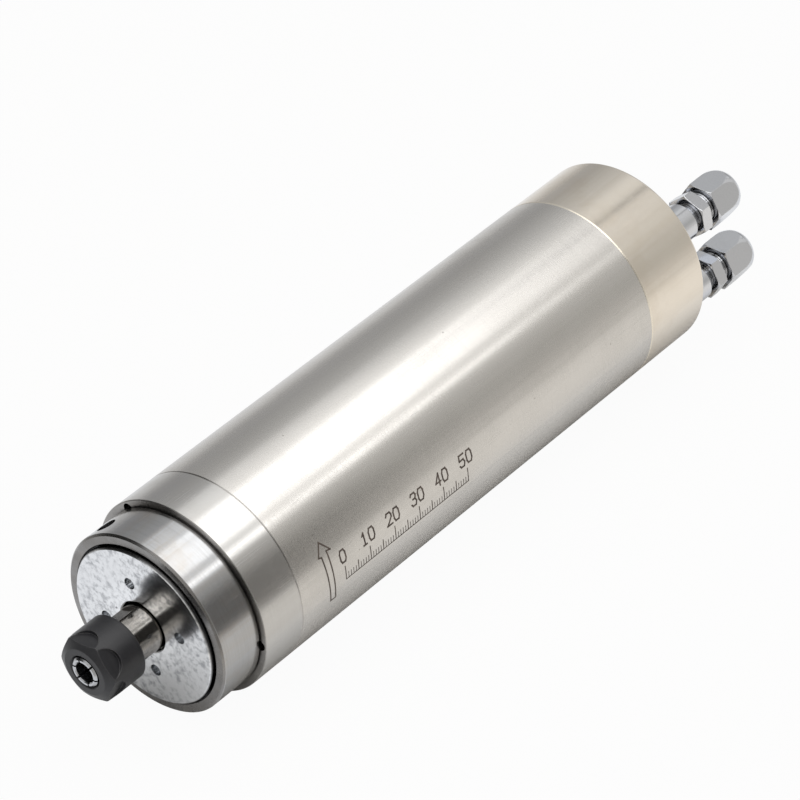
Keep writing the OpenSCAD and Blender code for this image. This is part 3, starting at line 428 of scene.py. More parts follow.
@dataclass(frozen=True)
class Finish:
    """A surface finish: one Principled shader over shared effects."""

    name: str
    colour: Colour
    shade: Colour
    roughness: float
    rough_swing: float = 0.05
    metallic: float = 1.0
    anisotropy: float = 0.0
    lay: Lay = Lay.EVEN
    fine: float = 0.5
    marks: float = 0.25
    bump: float = 0.05
    clouds: float = 0.0
    cloud_scale: float = 60.0
    cloud_colour: Colour = (0.3, 0.25, 0.2)
    specks: float = 0.0
    speck_colour: Colour = (0.12, 0.10, 0.09)
    scratches: float = 0.0
    streaks: float = 0.0
    # Strength, colour and reach of the lighter edges, which are wear and a painted highlight.
    worn: float = 0.0
    worn_colour: Colour = (0.5, 0.5, 0.5)
    worn_radius: float = 0.0004
    edge_gain: float = 3.0
    coat: float = 0.0
    # Strength and colour of the painted shade in hollows and grooves.
    hollows: float = 0.0
    hollow_colour: Colour = (0.05, 0.05, 0.055)

    def build(self) -> Material:
        """Makes the material, with its nodes.

        Returns:
            The material.
        """
        material, g = new_material(self.name)
        place = g.place()
        tool = g.effect(Effect.TOOL_MARKS, {"Vector": place, "Stretch": self.lay.value,
                                            "Fine": self.fine})
        shaded = g.math("MULTIPLY", tool.outputs["Marks"], self.marks)
        rough = g.add("ShaderNodeMapRange", {"Value": tool.outputs["Marks"],
                                             "To Min": self.roughness - self.rough_swing,
                                             "To Max": self.roughness + self.rough_swing})
        surface = Surface(g, place, g.mix(shaded, self.colour, self.shade),
                          rough.outputs["Result"], tool.outputs["Height"])
        self.wear(surface)
        self.extra(surface)
        normal = g.add("ShaderNodeBump", {"Height": surface.height, "Strength": self.bump,
                                          "Distance": BUMP_DEPTH})
        # Lightens the edges: wear together with a painted highlight along them.
        if self.worn:
            edge = g.effect(Effect.WORN_EDGES, {"Radius": self.worn_radius, "Gain": self.edge_gain})
            surface.tint(g.math("MULTIPLY", edge.outputs["Mask"], self.worn), self.worn_colour)
            g.feed(normal.inputs["Normal"], edge.outputs["Normal"])
        shader = g.add("ShaderNodeBsdfPrincipled", {"Base Color": surface.colour,
                                                    "Roughness": surface.rough,
                                                    "Metallic": self.metallic,
                                                    "Normal": normal.outputs["Normal"]})
        if self.anisotropy:
            shader.inputs["Anisotropic"].default_value = self.anisotropy
            shader.inputs["Anisotropic Rotation"].default_value = QUARTER_TURN
            tangent = g.add("ShaderNodeTangent", direction_type="RADIAL", axis="Y")
            g.feed(shader.inputs["Tangent"], tangent.outputs[0])
        if self.coat:
            shader.inputs["Coat Weight"].default_value = self.coat
            shader.inputs["Coat Roughness"].default_value = COAT_ROUGHNESS
        g.add("ShaderNodeOutputMaterial", {"Surface": shader.outputs[0]})
        return material

    def wear(self, surface: Surface) -> None:
        """Adds the stains, specks, scratches and streaks that this finish has, and the painted shade
        in its hollows.

        Args:
            surface: The surface, which is changed.
        """
        g, place = surface.graph, surface.place
        if self.clouds:
            share = g.masked(Effect.CLOUDS, {"Vector": place, "Scale": self.cloud_scale}, self.clouds)
            surface.tint(share, self.cloud_colour)
            surface.dull(share, CLOUD_DULLING)
        if self.specks:
            share = g.masked(Effect.SPECKS, {"Vector": place, "Share": SPECK_SHARE}, self.specks)
            surface.tint(share, self.speck_colour)
            surface.sink(share)
        if self.scratches:
            share = g.masked(Effect.SCRATCHES, {"Vector": place}, self.scratches)
            surface.dull(share, SCRATCH_DULLING)
            surface.sink(share)
        if self.streaks:
            share = g.masked(Effect.STREAKS, {"Vector": place}, self.streaks)
            surface.tint(share, self.cloud_colour)
            surface.dull(share, MARK_DULLING)
        # Painted shade in the hollows.
        if self.hollows:
            surface.tint(g.masked(Effect.HOLLOWS, {}, self.hollows), self.hollow_colour)

    def extra(self, surface: Surface) -> None:
        """Adds what only one finish has; the plain finish adds nothing.

        Args:
            surface: The surface, which is changed.
        """


@dataclass(frozen=True)
class BandedFinish(Finish):
    """A finish with bands at stations along the axis: oily joints, seams and painted light.

    Each band is its start and end along the axis, its soft edge, and its strength.
    """

    bands: tuple[tuple[float, float, float, float], ...] = ()
    band_colour: Colour = (0.2, 0.19, 0.18)
    even_share: float = 0.65

    def extra(self, surface: Surface) -> None:
        """Tints and roughens each band, unevenly.

        Args:
            surface: The surface, which is changed.
        """
        g, place = surface.graph, surface.place
        broken = g.masked(Effect.CLOUDS, {"Vector": place, "Scale": 140.0, "Low": 0.25, "High": 0.75},
                          1.0 - self.even_share)
        uneven = g.math("ADD", broken, self.even_share)
        # Each band is a real oily joint or seam, or painted light: painted shade, a painted dark
        # reflection, a painted highlight.
        for start, end, soft, strength in self.bands:
            band = g.effect(Effect.BAND, {"Vector": place, "Start": start, "End": end, "Soft": soft})
            share = g.math("MULTIPLY", g.math("MULTIPLY", band.outputs["Mask"], uneven), strength)
            surface.tint(share, self.band_colour)
            surface.dull(share, MARK_DULLING)


@dataclass(frozen=True)
class FacedFinish(Finish):
    """A faced disc: rings of the facing tool, mottled patches, and painted shade at its rim."""

    ring_scale: float = 2600.0
    ring_depth: float = 0.4
    mottle: float = 0.75
    mottle_colour: Colour = (0.30, 0.31, 0.33)
    dull_from: float = 0.009
    dull_to: float = 0.015
    dullness: float = 0.12
    rim_radius: float = 0.0234
    rim_share: float = 0.85
    rim_colour: Colour = (0.13, 0.13, 0.135)

    def extra(self, surface: Surface) -> None:
        """Adds the rings, the mottling and the painted shade on the wall of the rim.

        Args:
            surface: The surface, which is changed.
        """
        g, place = surface.graph, surface.place
        radius = g.radius(place)
        rings = g.add("ShaderNodeTexNoise", {"W": g.math("MULTIPLY", radius, self.ring_scale),
                                             "Scale": 1.0, "Detail": 2.0}, noise_dimensions="1D")
        surface.height = g.plus(surface.height, rings.outputs["Fac"], self.ring_depth)
        broad = g.effect(Effect.CLOUDS, {"Vector": place, "Scale": 90.0, "Low": 0.30, "High": 0.55})
        small = g.effect(Effect.CLOUDS, {"Vector": place, "Scale": 560.0, "Low": 0.42, "High": 0.68})
        patch = g.math("MULTIPLY", broad.outputs["Mask"], small.outputs["Mask"])
        outer = g.smooth(radius, self.dull_from, self.dull_to, out_high=self.dullness)
        surface.tint(outer, self.mottle_colour)
        surface.tint(g.math("MULTIPLY", patch, self.mottle), self.mottle_colour)
        surface.dull(patch, MOTTLE_DULLING)
        # Painted shade on the rim's wall, where the gap to the nose ring lies.
        rim = g.smooth(radius, self.rim_radius - BLUR, self.rim_radius)
        surface.tint(g.math("MULTIPLY", rim, self.rim_share), self.rim_colour)


@dataclass(frozen=True)
class ShaftFinish(Finish):
    """Ground steel whose spanner flats, which lie closer to the axis, are milled and carry a painted
    dark reflection.
    """

    flats_radius: float = 0.00685
    round_radius: float = 0.00692
    flat_colour: Colour = (0.075, 0.066, 0.062)
    flat_share: float = 0.85

    def extra(self, surface: Surface) -> None:
        """Roughens what lies closer to the axis than the round face, and darkens it as a painted dark
        reflection.

        Args:
            surface: The surface, which is changed.
        """
        g, place = surface.graph, surface.place
        milled = g.smooth(g.radius(place), self.round_radius, self.flats_radius)
        share = g.math("MULTIPLY", milled, self.flat_share)
        surface.dull(share, MARK_DULLING)
        # Painted dark reflection on the spanner flats; the roughness is the milling.
        surface.tint(share, self.flat_colour)


STEEL = (0.745, 0.723, 0.695)
STEEL_SHADE = (0.60, 0.585, 0.56)

FINISHES: dict[str, Finish] = {
    "stainless": BandedFinish(
        "satin_stainless", STEEL, STEEL_SHADE, roughness=0.24, rough_swing=0.04, anisotropy=0.6,
        lay=Lay.AROUND, fine=0.55, marks=0.22, bump=0.03, clouds=0.22, cloud_scale=42.0,
        cloud_colour=(0.60, 0.58, 0.55), specks=0.45, scratches=0.5, streaks=0.22,
        # The first two bands are dark seams; the third is painted shade, darker towards the front of
        # the casing.
        bands=((-0.0745, -0.07405, 0.0002, 0.3), (0.07405, 0.0745, 0.0002, 0.35),
               (-0.0745, -0.064, 0.035, 0.10))),
    "stainless_front": BandedFinish(
        "satin_stainless_front", (0.63, 0.62, 0.605), (0.50, 0.49, 0.48), roughness=0.20,
        rough_swing=0.04, anisotropy=0.6, lay=Lay.AROUND, fine=0.55, marks=0.28, bump=0.03,
        clouds=0.25, cloud_scale=55.0, cloud_colour=(0.56, 0.535, 0.505), specks=0.45,
        # Painted shade in the key notch and the other hollows.
        scratches=0.5, streaks=0.25, hollows=0.8,
        bands=((-0.0885, -0.0883, 0.0001, 0.75), (-0.0743, -0.0738, 0.0002, 0.3))),
    "nose_steel": BandedFinish(
        "nose_steel", (0.49, 0.495, 0.505), (0.35, 0.352, 0.36), roughness=0.155,
        rough_swing=0.03, anisotropy=0.4, lay=Lay.AROUND, fine=0.3, marks=0.4, bump=0.04,
        clouds=0.30, cloud_scale=95.0, cloud_colour=(0.44, 0.38, 0.31), specks=0.4, scratches=0.4,
        # Painted shade in the hollows; the first band is a painted dark reflection on the ring's
        # front face, the second the oily groove at the shoulder.
        streaks=0.25, hollows=0.8,
        bands=((-0.1025, -0.1017, 0.0001, 0.9), (-0.0892, -0.0880, 0.0006, 0.6))),
    "disc_aluminium": FacedFinish(
        "faced_aluminium", (0.89, 0.90, 0.915), (0.76, 0.77, 0.785), roughness=0.16,
        rough_swing=0.02, lay=Lay.EVEN, fine=0.5, marks=0.35, bump=0.05, specks=0.6),
    "aluminium": Finish(
        "machined_aluminium", (0.78, 0.79, 0.80), (0.66, 0.67, 0.68), roughness=0.33,
        lay=Lay.AROUND, fine=0.4, marks=0.4, bump=0.06, clouds=0.1),
    "rubber": Finish(
        "nitrile_rubber", (0.030, 0.030, 0.032), (0.05, 0.05, 0.05), roughness=0.62,
        rough_swing=0.06, metallic=0.0, marks=0.5, bump=0.15, clouds=0.2,
        cloud_colour=(0.09, 0.09, 0.09)),
    "lamination": Finish(
        "stacked_sheets", (0.36, 0.37, 0.39), (0.20, 0.20, 0.22), roughness=0.42, lay=Lay.AROUND,
        fine=0.1, marks=0.7, bump=0.25, clouds=0.2),
    "copper": Finish(
        "varnished_copper", (0.62, 0.27, 0.12), (0.40, 0.15, 0.07), roughness=0.33,
        lay=Lay.AROUND, fine=0.1, marks=0.7, bump=0.4, clouds=0.3,
        cloud_colour=(0.30, 0.12, 0.05), coat=0.5),
    "spring_steel": Finish(
        "spring_steel", (0.50, 0.51, 0.54), (0.38, 0.38, 0.40), roughness=0.28, marks=0.3),
    "dark_steel": Finish(
        "hardened_steel", (0.34, 0.34, 0.36), (0.22, 0.22, 0.23), roughness=0.34, lay=Lay.AROUND,
        marks=0.4, clouds=0.3),
    # The spanner flats carry a painted dark reflection.
    "ground_steel": ShaftFinish(
        "ground_steel", (0.345, 0.33, 0.31), (0.235, 0.225, 0.205), roughness=0.09,
        rough_swing=0.03, anisotropy=0.3, lay=Lay.AROUND, fine=0.2, marks=0.45, bump=0.04,
        clouds=0.25, cloud_scale=120.0, cloud_colour=(0.24, 0.20, 0.165), scratches=0.4),
    "collet_steel": Finish(
        "collet_steel", (0.56, 0.57, 0.59), (0.42, 0.43, 0.45), roughness=0.2, rough_swing=0.04,
        lay=Lay.AROUND, fine=0.3, marks=0.4, bump=0.05, clouds=0.2, cloud_scale=300.0,
        cloud_colour=(0.3, 0.3, 0.31), scratches=0.3),
    "black_oxide": Finish(
        "black_oxide", (0.010, 0.010, 0.0125), (0.020, 0.020, 0.024), roughness=0.38,
        rough_swing=0.05, metallic=0.0, lay=Lay.AROUND, fine=0.5, marks=0.6, bump=0.06,
        clouds=0.2, cloud_scale=110.0, cloud_colour=(0.045, 0.045, 0.046), specks=0.2,
        # Lighter edges: wear and a painted highlight.
        speck_colour=(0.12, 0.11, 0.1), worn=0.5, worn_colour=(0.20, 0.20, 0.20)),
    "nickel_cap": BandedFinish(
        "warm_satin_nickel", (0.92, 0.855, 0.765), (0.83, 0.765, 0.675), roughness=0.14,
        rough_swing=0.04, lay=Lay.AROUND, fine=0.75, marks=0.3, bump=0.04, clouds=0.30,
        cloud_scale=55.0, cloud_colour=(0.72, 0.62, 0.49), specks=0.4, scratches=0.4,
        # The band is a painted highlight along the cap's front edge.
        streaks=0.15, bands=((0.07415, 0.0745, 0.0001, 0.85),), band_colour=(1.0, 0.93, 0.80)),
    "black_screws": Finish(
        "black_screws", (0.035, 0.035, 0.038), (0.06, 0.06, 0.06), roughness=0.38, metallic=0.0,
        # Lighter edges: wear and a painted highlight.
        marks=0.5, bump=0.08, worn=0.5, worn_colour=(0.25, 0.25, 0.25), worn_radius=0.0002),
    "wire_sheath": Finish(
        "silicone_sheath", (0.42, 0.03, 0.02), (0.33, 0.02, 0.015), roughness=0.5, metallic=0.0,
        marks=0.5, bump=0.1, clouds=0.2, cloud_colour=(0.25, 0.03, 0.02)),
    "chrome": Finish(
        "bright_chrome", (0.75, 0.765, 0.80), (0.64, 0.655, 0.69), roughness=0.12,
        rough_swing=0.03, lay=Lay.EVEN, fine=0.3, marks=0.3, bump=0.02, clouds=0.15,
        # Painted shade and dark reflection in the grooves; the lighter edges are a painted highlight.
        cloud_scale=160.0, cloud_colour=(0.62, 0.63, 0.66), hollows=0.9, worn=0.25,
        worn_colour=(0.95, 0.96, 0.98), worn_radius=0.0003, edge_gain=4.0),
    "black_plastic": Finish(
        "moulded_phenolic", (0.022, 0.022, 0.024), (0.035, 0.035, 0.036), roughness=0.42,
        metallic=0.0, marks=0.5, bump=0.1, clouds=0.15, cloud_colour=(0.06, 0.06, 0.06)),
    "gold_pins": Finish(
        "gold_plate", (0.83, 0.60, 0.24), (0.68, 0.46, 0.17), roughness=0.18, marks=0.4,
        clouds=0.15),
    "bearing_steel": Finish(
        "bearing_steel", (0.72, 0.72, 0.73), (0.62, 0.62, 0.63), roughness=0.12, rough_swing=0.03,
        lay=Lay.AROUND, fine=0.2, marks=0.3, bump=0.02, clouds=0.1),
    "cage_resin": Finish(
        "fabric_resin", (0.42, 0.26, 0.12), (0.30, 0.18, 0.08), roughness=0.5, metallic=0.0,
        marks=0.6, bump=0.2, clouds=0.3, cloud_colour=(0.25, 0.15, 0.07)),
    "brass": Finish(
        "plain_brass", (0.72, 0.52, 0.22), (0.58, 0.40, 0.15), roughness=0.25, lay=Lay.AROUND,
        marks=0.4, clouds=0.2, cloud_colour=(0.45, 0.30, 0.12)),
}


@dataclass(frozen=True)
class EtchedMark:
    """The brown-grey mark that a laser leaves on steel."""

    name: str = "laser_etching"
    colour: Colour = (0.085, 0.066, 0.056)
    edge: Colour = (0.17, 0.135, 0.115)
    metallic: float = 0.35
    smoothest: float = 0.5
    roughest: float = 0.7
    bump: float = 0.3

    def build(self) -> Material:
        """Makes the material.

        Returns:
            The material.
        """
        material, g = new_material(self.name)
        place = g.place()
        tool = g.effect(Effect.TOOL_MARKS, {"Vector": place, "Stretch": Lay.EVEN.value, "Fine": 0.5})
        worn = g.effect(Effect.CLOUDS, {"Vector": place, "Scale": 420.0, "Low": 0.35, "High": 0.75})
        colour = g.mix(worn.outputs["Mask"], self.colour, self.edge)
        rough = g.smooth(tool.outputs["Marks"], 0.0, 1.0, self.smoothest, self.roughest)
        bump = g.add("ShaderNodeBump", {"Height": tool.outputs["Height"], "Strength": self.bump,
                                        "Distance": ETCHING_DEPTH})
        shader = g.add("ShaderNodeBsdfPrincipled", {"Base Color": colour, "Roughness": rough,
                                                    "Metallic": self.metallic,
                                                    "Normal": bump.outputs["Normal"]})
        g.add("ShaderNodeOutputMaterial", {"Surface": shader.outputs[0]})
        return material


@dataclass
class SubAssembly:
    """A group of CAD nodes that are dressed together."""

    title: str
    finishes: dict[str, tuple[str, ...]]

    def build(self, materials: dict[str, Material]) -> None:
        """Gives each node of the group its material.

        Args:
            materials: Materials by slot name.
        """
        log.info("building the %s", self.title)
        for slot, nodes in self.finishes.items():
            for name in nodes:
                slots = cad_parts[name].data.materials
                slots.clear()
                slots.append(materials[slot])
                log.info("%s is dressed in %s", name, materials[slot].name)


DIGITS: dict[str, tuple[Stroke, ...]] = {
    "0": (((0.2, 0.0), (0.8, 0.0), (1.0, 0.25), (1.0, 0.75), (0.8, 1.0), (0.2, 1.0), (0.0, 0.75),
           (0.0, 0.25), (0.2, 0.0)),),
    "1": (((0.2, 0.8), (0.5, 1.0), (0.5, 0.0)), ((0.2, 0.0), (0.8, 0.0))),
    "2": (((0.0, 0.8), (0.2, 1.0), (0.8, 1.0), (1.0, 0.8), (1.0, 0.6), (0.0, 0.0), (1.0, 0.0)),),
    "3": (((0.0, 0.85), (0.2, 1.0), (0.8, 1.0), (1.0, 0.8), (0.8, 0.53), (0.4, 0.53)),
          ((0.8, 0.53), (1.0, 0.3), (0.8, 0.0), (0.2, 0.0), (0.0, 0.15))),
    "4": (((0.75, 0.0), (0.75, 1.0), (0.0, 0.3), (1.0, 0.3)),),
    "5": (((1.0, 1.0), (0.1, 1.0), (0.0, 0.55), (0.8, 0.58), (1.0, 0.3), (0.8, 0.0), (0.2, 0.0),
           (0.0, 0.15)),),
}


@dataclass
class CasingMarks:
    """Etched marks on the casing: an outlined arrow and a plain length scale with numbers.

    Places are (distance along the axis in mm, angle round it in degrees).
    """

    radius: float = BODY_R + MARKS_PROUD
    step: float = 0.5
    arrow_width: float = 0.42
    arrow: tuple[Point, ...] = (
        (-63.35, -4.4), (-63.25, -4.0), (-63.85, 24.0), (-64.85, 24.6), (-62.95, 31.8),
        (-60.25, 25.0), (-61.65, 25.5), (-61.35, -4.4), (-63.35, -4.4))
    scale_start: float = -57.0
    scale_length: int = 50
    scale_angle: float = 2.0
    base_width: float = 0.26
    long_tick: float = 4.2
    middle_tick: float = 3.0
    short_tick: float = 1.8
    bold_width: float = 0.30
    fine_width: float = 0.2
    number_foot: float = 5.6
    digit_height: float = 3.6
    digit_width: float = 2.0
    digit_gap: float = 0.9
    digit_stroke: float = 0.5

    def to_surface(self, y: float, arc: float) -> Vector:
        """Puts a flat place on the casing.

        Args:
            y: Distance along the axis, in mm.
            arc: Distance round the casing from angle 0, in mm.

        Returns:
            The point, in metres.
        """
        angle = arc * MM / BODY_R
        return Vector((self.radius * math.cos(angle), y * MM, self.radius * math.sin(angle)))

    def stroke(self, points: list[Point], width: float, verts: list[Vector],
               faces: list[tuple[int, ...]]) -> None:
        """Adds one line of even width, wrapped round the casing.

        Args:
            points: The line's points, as (y, arc) in mm.
            width: The line's width in mm.
            verts: Vertices so far, added to.
            faces: Faces so far, added to.
        """
        for (y0, a0), (y1, a1) in zip(points, points[1:]):
            length = math.hypot(y1 - y0, a1 - a0)
            uy, ua = (y1 - y0) / length, (a1 - a0) / length
            y0, a0 = y0 - uy * width / 2, a0 - ua * width / 2
            y1, a1 = y1 + uy * width / 2, a1 + ua * width / 2
            pieces = max(1, math.ceil(length / self.step))
            first = len(verts)
            for k in range(pieces + 1):
                t = k / pieces
                y, a = y0 + (y1 - y0) * t, a0 + (a1 - a0) * t
                verts.append(self.to_surface(y - ua * width / 2, a + uy * width / 2))
                verts.append(self.to_surface(y + ua * width / 2, a - uy * width / 2))
            for k in range(pieces):
                i = first + 2 * k
                faces.append((i, i + 1, i + 3, i + 2))

    def piece(self, name: str, lines: list[Line], material: Material) -> bpy.types.Object:
        """Makes one mesh of several lines, which moves with the housing.

        Args:
            name: The piece's name.
            lines: Points and width of each line.
            material: Its material.

        Returns:
            The new object.
        """
        verts: list[Vector] = []
        faces: list[tuple[int, ...]] = []
        for points, width in lines:
            self.stroke(points, width, verts, faces)
        mesh = bpy.data.meshes.new(name)
        mesh.from_pydata([tuple(v) for v in verts], [], faces)
        mesh.update()
        outward = Vector((1.0, 0.0, 0.0))
        if sum(p.normal.dot(outward) for p in mesh.polygons) < 0:
            mesh.flip_normals()
        mesh.materials.append(material)
        obj = bpy.data.objects.new(name, mesh)
        bpy.context.scene.collection.objects.link(obj)
        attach(obj, "housing")
        log.info("%s has %d faces", name, len(faces))
        return obj

    def arrow_lines(self) -> list[Line]:
        """Gives the outline of the arrow that shows which way the rotor turns."""
        return [([(y, angle * ARC_PER_DEGREE) for y, angle in self.arrow], self.arrow_width)]

    def scale_lines(self) -> list[Line]:
        """Gives the lines and numbers of the length scale.

        Returns:
            Points and width of each line.
        """
        base = self.scale_angle * ARC_PER_DEGREE
        end = self.scale_start + self.scale_length
        lines: list[Line] = [([(self.scale_start, base), (end, base)], self.base_width)]
        for mm in range(self.scale_length + 1):
            ten, five = mm % 10 == 0, mm % 5 == 0
            reach = self.long_tick if ten else self.middle_tick if five else self.short_tick
            y = self.scale_start + mm
            width = self.bold_width if five else self.fine_width
            lines.append(([(y, base), (y, base + reach)], width))
            if ten:
                lines += self.number(str(mm), y, base + self.number_foot)
        return lines

    def number(self, text: str, y: float, arc: float) -> list[Line]:
        """Gives the strokes of a number, centred on a station.

        Args:
            text: The digits.
            y: The station, in mm.
            arc: The number's foot, in mm round the casing.

        Returns:
            Points and width of each stroke.
        """
        total = len(text) * self.digit_width + (len(text) - 1) * self.digit_gap
        lines: list[Line] = []
        for k, digit in enumerate(text):
            left = y - total / 2 + k * (self.digit_width + self.digit_gap)
            for stroke in DIGITS[digit]:
                points = [(left + u * self.digit_width, arc + v * self.digit_height)
                          for u, v in stroke]
                lines.append((points, self.digit_stroke))
        return lines

    def build(self, material: Material) -> None:
        """Adds the arrow and the scale.

        Args:
            material: Their material.
        """
        self.piece("casing_turning_arrow", self.arrow_lines(), material)
        self.piece("casing_length_scale", self.scale_lines(), material)


def bearing_nodes(part: str) -> tuple[str, ...]:
    """Gives one part's node names for all three bearings."""
    bearings = ("front_bearing_1", "front_bearing_2", "rear_bearing")
    return tuple(f"{bearing}_{part}" for bearing in bearings)


SUB_ASSEMBLIES: tuple[SubAssembly, ...] = (
    SubAssembly("casing", {"stainless": ("outer_casing",), "stainless_front": ("front_housing",),
                           "nickel_cap": ("rear_cap",), "black_screws": ("cap_screws",)}),
    SubAssembly("nose", {"nose_steel": ("nose_ring",), "disc_aluminium": ("dust_disc",)}),
    SubAssembly("shaft and collet", {"ground_steel": ("spindle_shaft",), "collet_steel": ("collet",),
                                     "black_oxide": ("collet_nut",)}),
    SubAssembly("bearings", {"bearing_steel": bearing_nodes("outer") + bearing_nodes("inner")
                             + bearing_nodes("balls"),
                             "cage_resin": bearing_nodes("cage"), "dark_steel": ("bearing_lock_nut",),
                             "spring_steel": ("preload_spring", "shaft_retaining_ring")}),
    SubAssembly("motor", {"lamination": ("stator_core", "rotor_core"), "copper": ("stator_windings",),
                          "aluminium": ("water_jacket", "rotor_cage", "rear_housing")}),
    SubAssembly("seals and wires", {"rubber": ("front_o_rings", "rear_o_rings", "port_o_rings",
                                               "wire_grommet", "socket_gasket", "fitting_washer_1",
                                               "fitting_washer_2"),
                                    "wire_sheath": ("lead_wires",)}),
    SubAssembly("water fittings", {"chrome": ("fitting_body_1", "fitting_nut_1", "fitting_body_2",
                                              "fitting_nut_2"),
                                   "brass": ("fitting_sleeve_1", "fitting_sleeve_2")}),
    SubAssembly("power socket", {"chrome": ("socket_shell", "socket_nut"),
                                 "black_plastic": ("socket_insert",), "gold_pins": ("socket_pins",)}),
)


def placed(x: Vector, y: Vector, z: Vector, at: Vector) -> Matrix:
    """Gives the matrix of an object from its three axes and its place.

    Args:
        x: Its X axis.
        y: Its Y axis.
        z: Its Z axis.
        at: Its place.

    Returns:
        The matrix.
    """
    return Matrix(((x.x, y.x, z.x, at.x), (x.y, y.y, z.y, at.y), (x.z, y.z, z.z, at.z), (0, 0, 0, 1)))


def flat_sheet(name: str, half_x: float, half_y: float, material: Material) -> bpy.types.Object:
    """Adds a flat rectangle round its own origin, as part of the studio.

    Args:
        name: Its name.
        half_x: Half its width.
        half_y: Half its length.
        material: Its material.

    Returns:
        The new object.
    """
    corners = [(-half_x, -half_y, 0), (half_x, -half_y, 0), (half_x, half_y, 0), (-half_x, half_y, 0)]
    mesh = bpy.data.meshes.new(name)
    mesh.from_pydata(corners, [], [(0, 1, 2, 3)])
    mesh.materials.append(material)
    sheet = bpy.data.objects.new(name, mesh)
    bpy.context.scene.collection.objects.link(sheet)
    return sheet


def facing_axis(angle: float, distance: float, y: float) -> Matrix:
    """Gives the matrix of something that stands off the spindle's axis and has its back to it.

    Args:
        angle: Direction from the axis, in degrees above the right side.
        distance: Distance from the axis, in metres.
        y: Station along the axis, in metres.

    Returns:
        The matrix, whose Z axis points away from the spindle and whose Y axis lies along it.
    """
    back = Vector((math.cos(math.radians(angle)), 0.0, math.sin(math.radians(angle))))
    along = Vector((0.0, 1.0, 0.0))
    return placed(along.cross(back), along, back, Vector((back.x * distance, y, back.z * distance)))


@dataclass(frozen=True)
class Softbox:
    """A lamp that lies along the spindle and fills the sky from one angle to another."""

    name: str
    start_angle: float
    end_angle: float
    radiance: float
    distance: float = 0.5
    y: float = -0.105
    length: float = 0.99

    def build(self) -> None:
        """Adds the lamp."""
        width = 2 * self.distance * math.tan(math.radians(self.end_angle - self.start_angle) / 2)
        light = bpy.data.lights.new(self.name, "AREA")
        light.shape = "RECTANGLE"
        light.size = width
        light.size_y = self.length
        light.energy = self.radiance * math.pi * width * self.length
        lamp = bpy.data.objects.new(self.name, light)
        middle = (self.start_angle + self.end_angle) / 2
        lamp.matrix_world = facing_axis(middle, self.distance, self.y)
        lamp.visible_camera = False
        bpy.context.scene.collection.objects.link(lamp)


@dataclass(frozen=True)
class Card:
    """A soft-edged dark card beside the spindle, which polished steel shows as a dark band."""

    name: str
    angle: float
    y: float
    width: float
    length: float
    tone: float
    distance: float = 0.22
    edge: float = 0.5
    dark: Colour = (0.9, 0.882, 0.855)
    pale: Colour = (1.1, 1.078, 1.045)

    def build(self) -> None:
        """Adds the card and its cloth."""
        half_x, half_y = self.width / 2, self.length / 2
        material, g = new_material(self.name)
        place = g.place()
        dark, pale = (tuple(self.tone * part for part in shade) for shade in (self.dark, self.pale))
        tone = g.mix(g.noise(place, scale=900.0), dark, pale)
        cloth = g.add("ShaderNodeBsdfPrincipled", {"Base Color": tone, "Roughness": MATT})
        axes = g.axes(place)
        across = g.smooth(g.math("ABSOLUTE", axes["X"]), half_x, self.edge * half_x)
        along = g.smooth(g.math("ABSOLUTE", axes["Y"]), half_y, self.edge * half_y)
        air = g.add("ShaderNodeBsdfTransparent")
        both = g.add("ShaderNodeMixShader", {0: g.math("MULTIPLY", across, along), 1: air.outputs[0],
                                             2: cloth.outputs[0]})
        g.add("ShaderNodeOutputMaterial", {"Surface": both.outputs[0]})
        card = flat_sheet(self.name, half_x, half_y, material)
        card.matrix_world = facing_axis(self.angle, self.distance, self.y)
        card.visible_camera = False
        card.visible_shadow = False


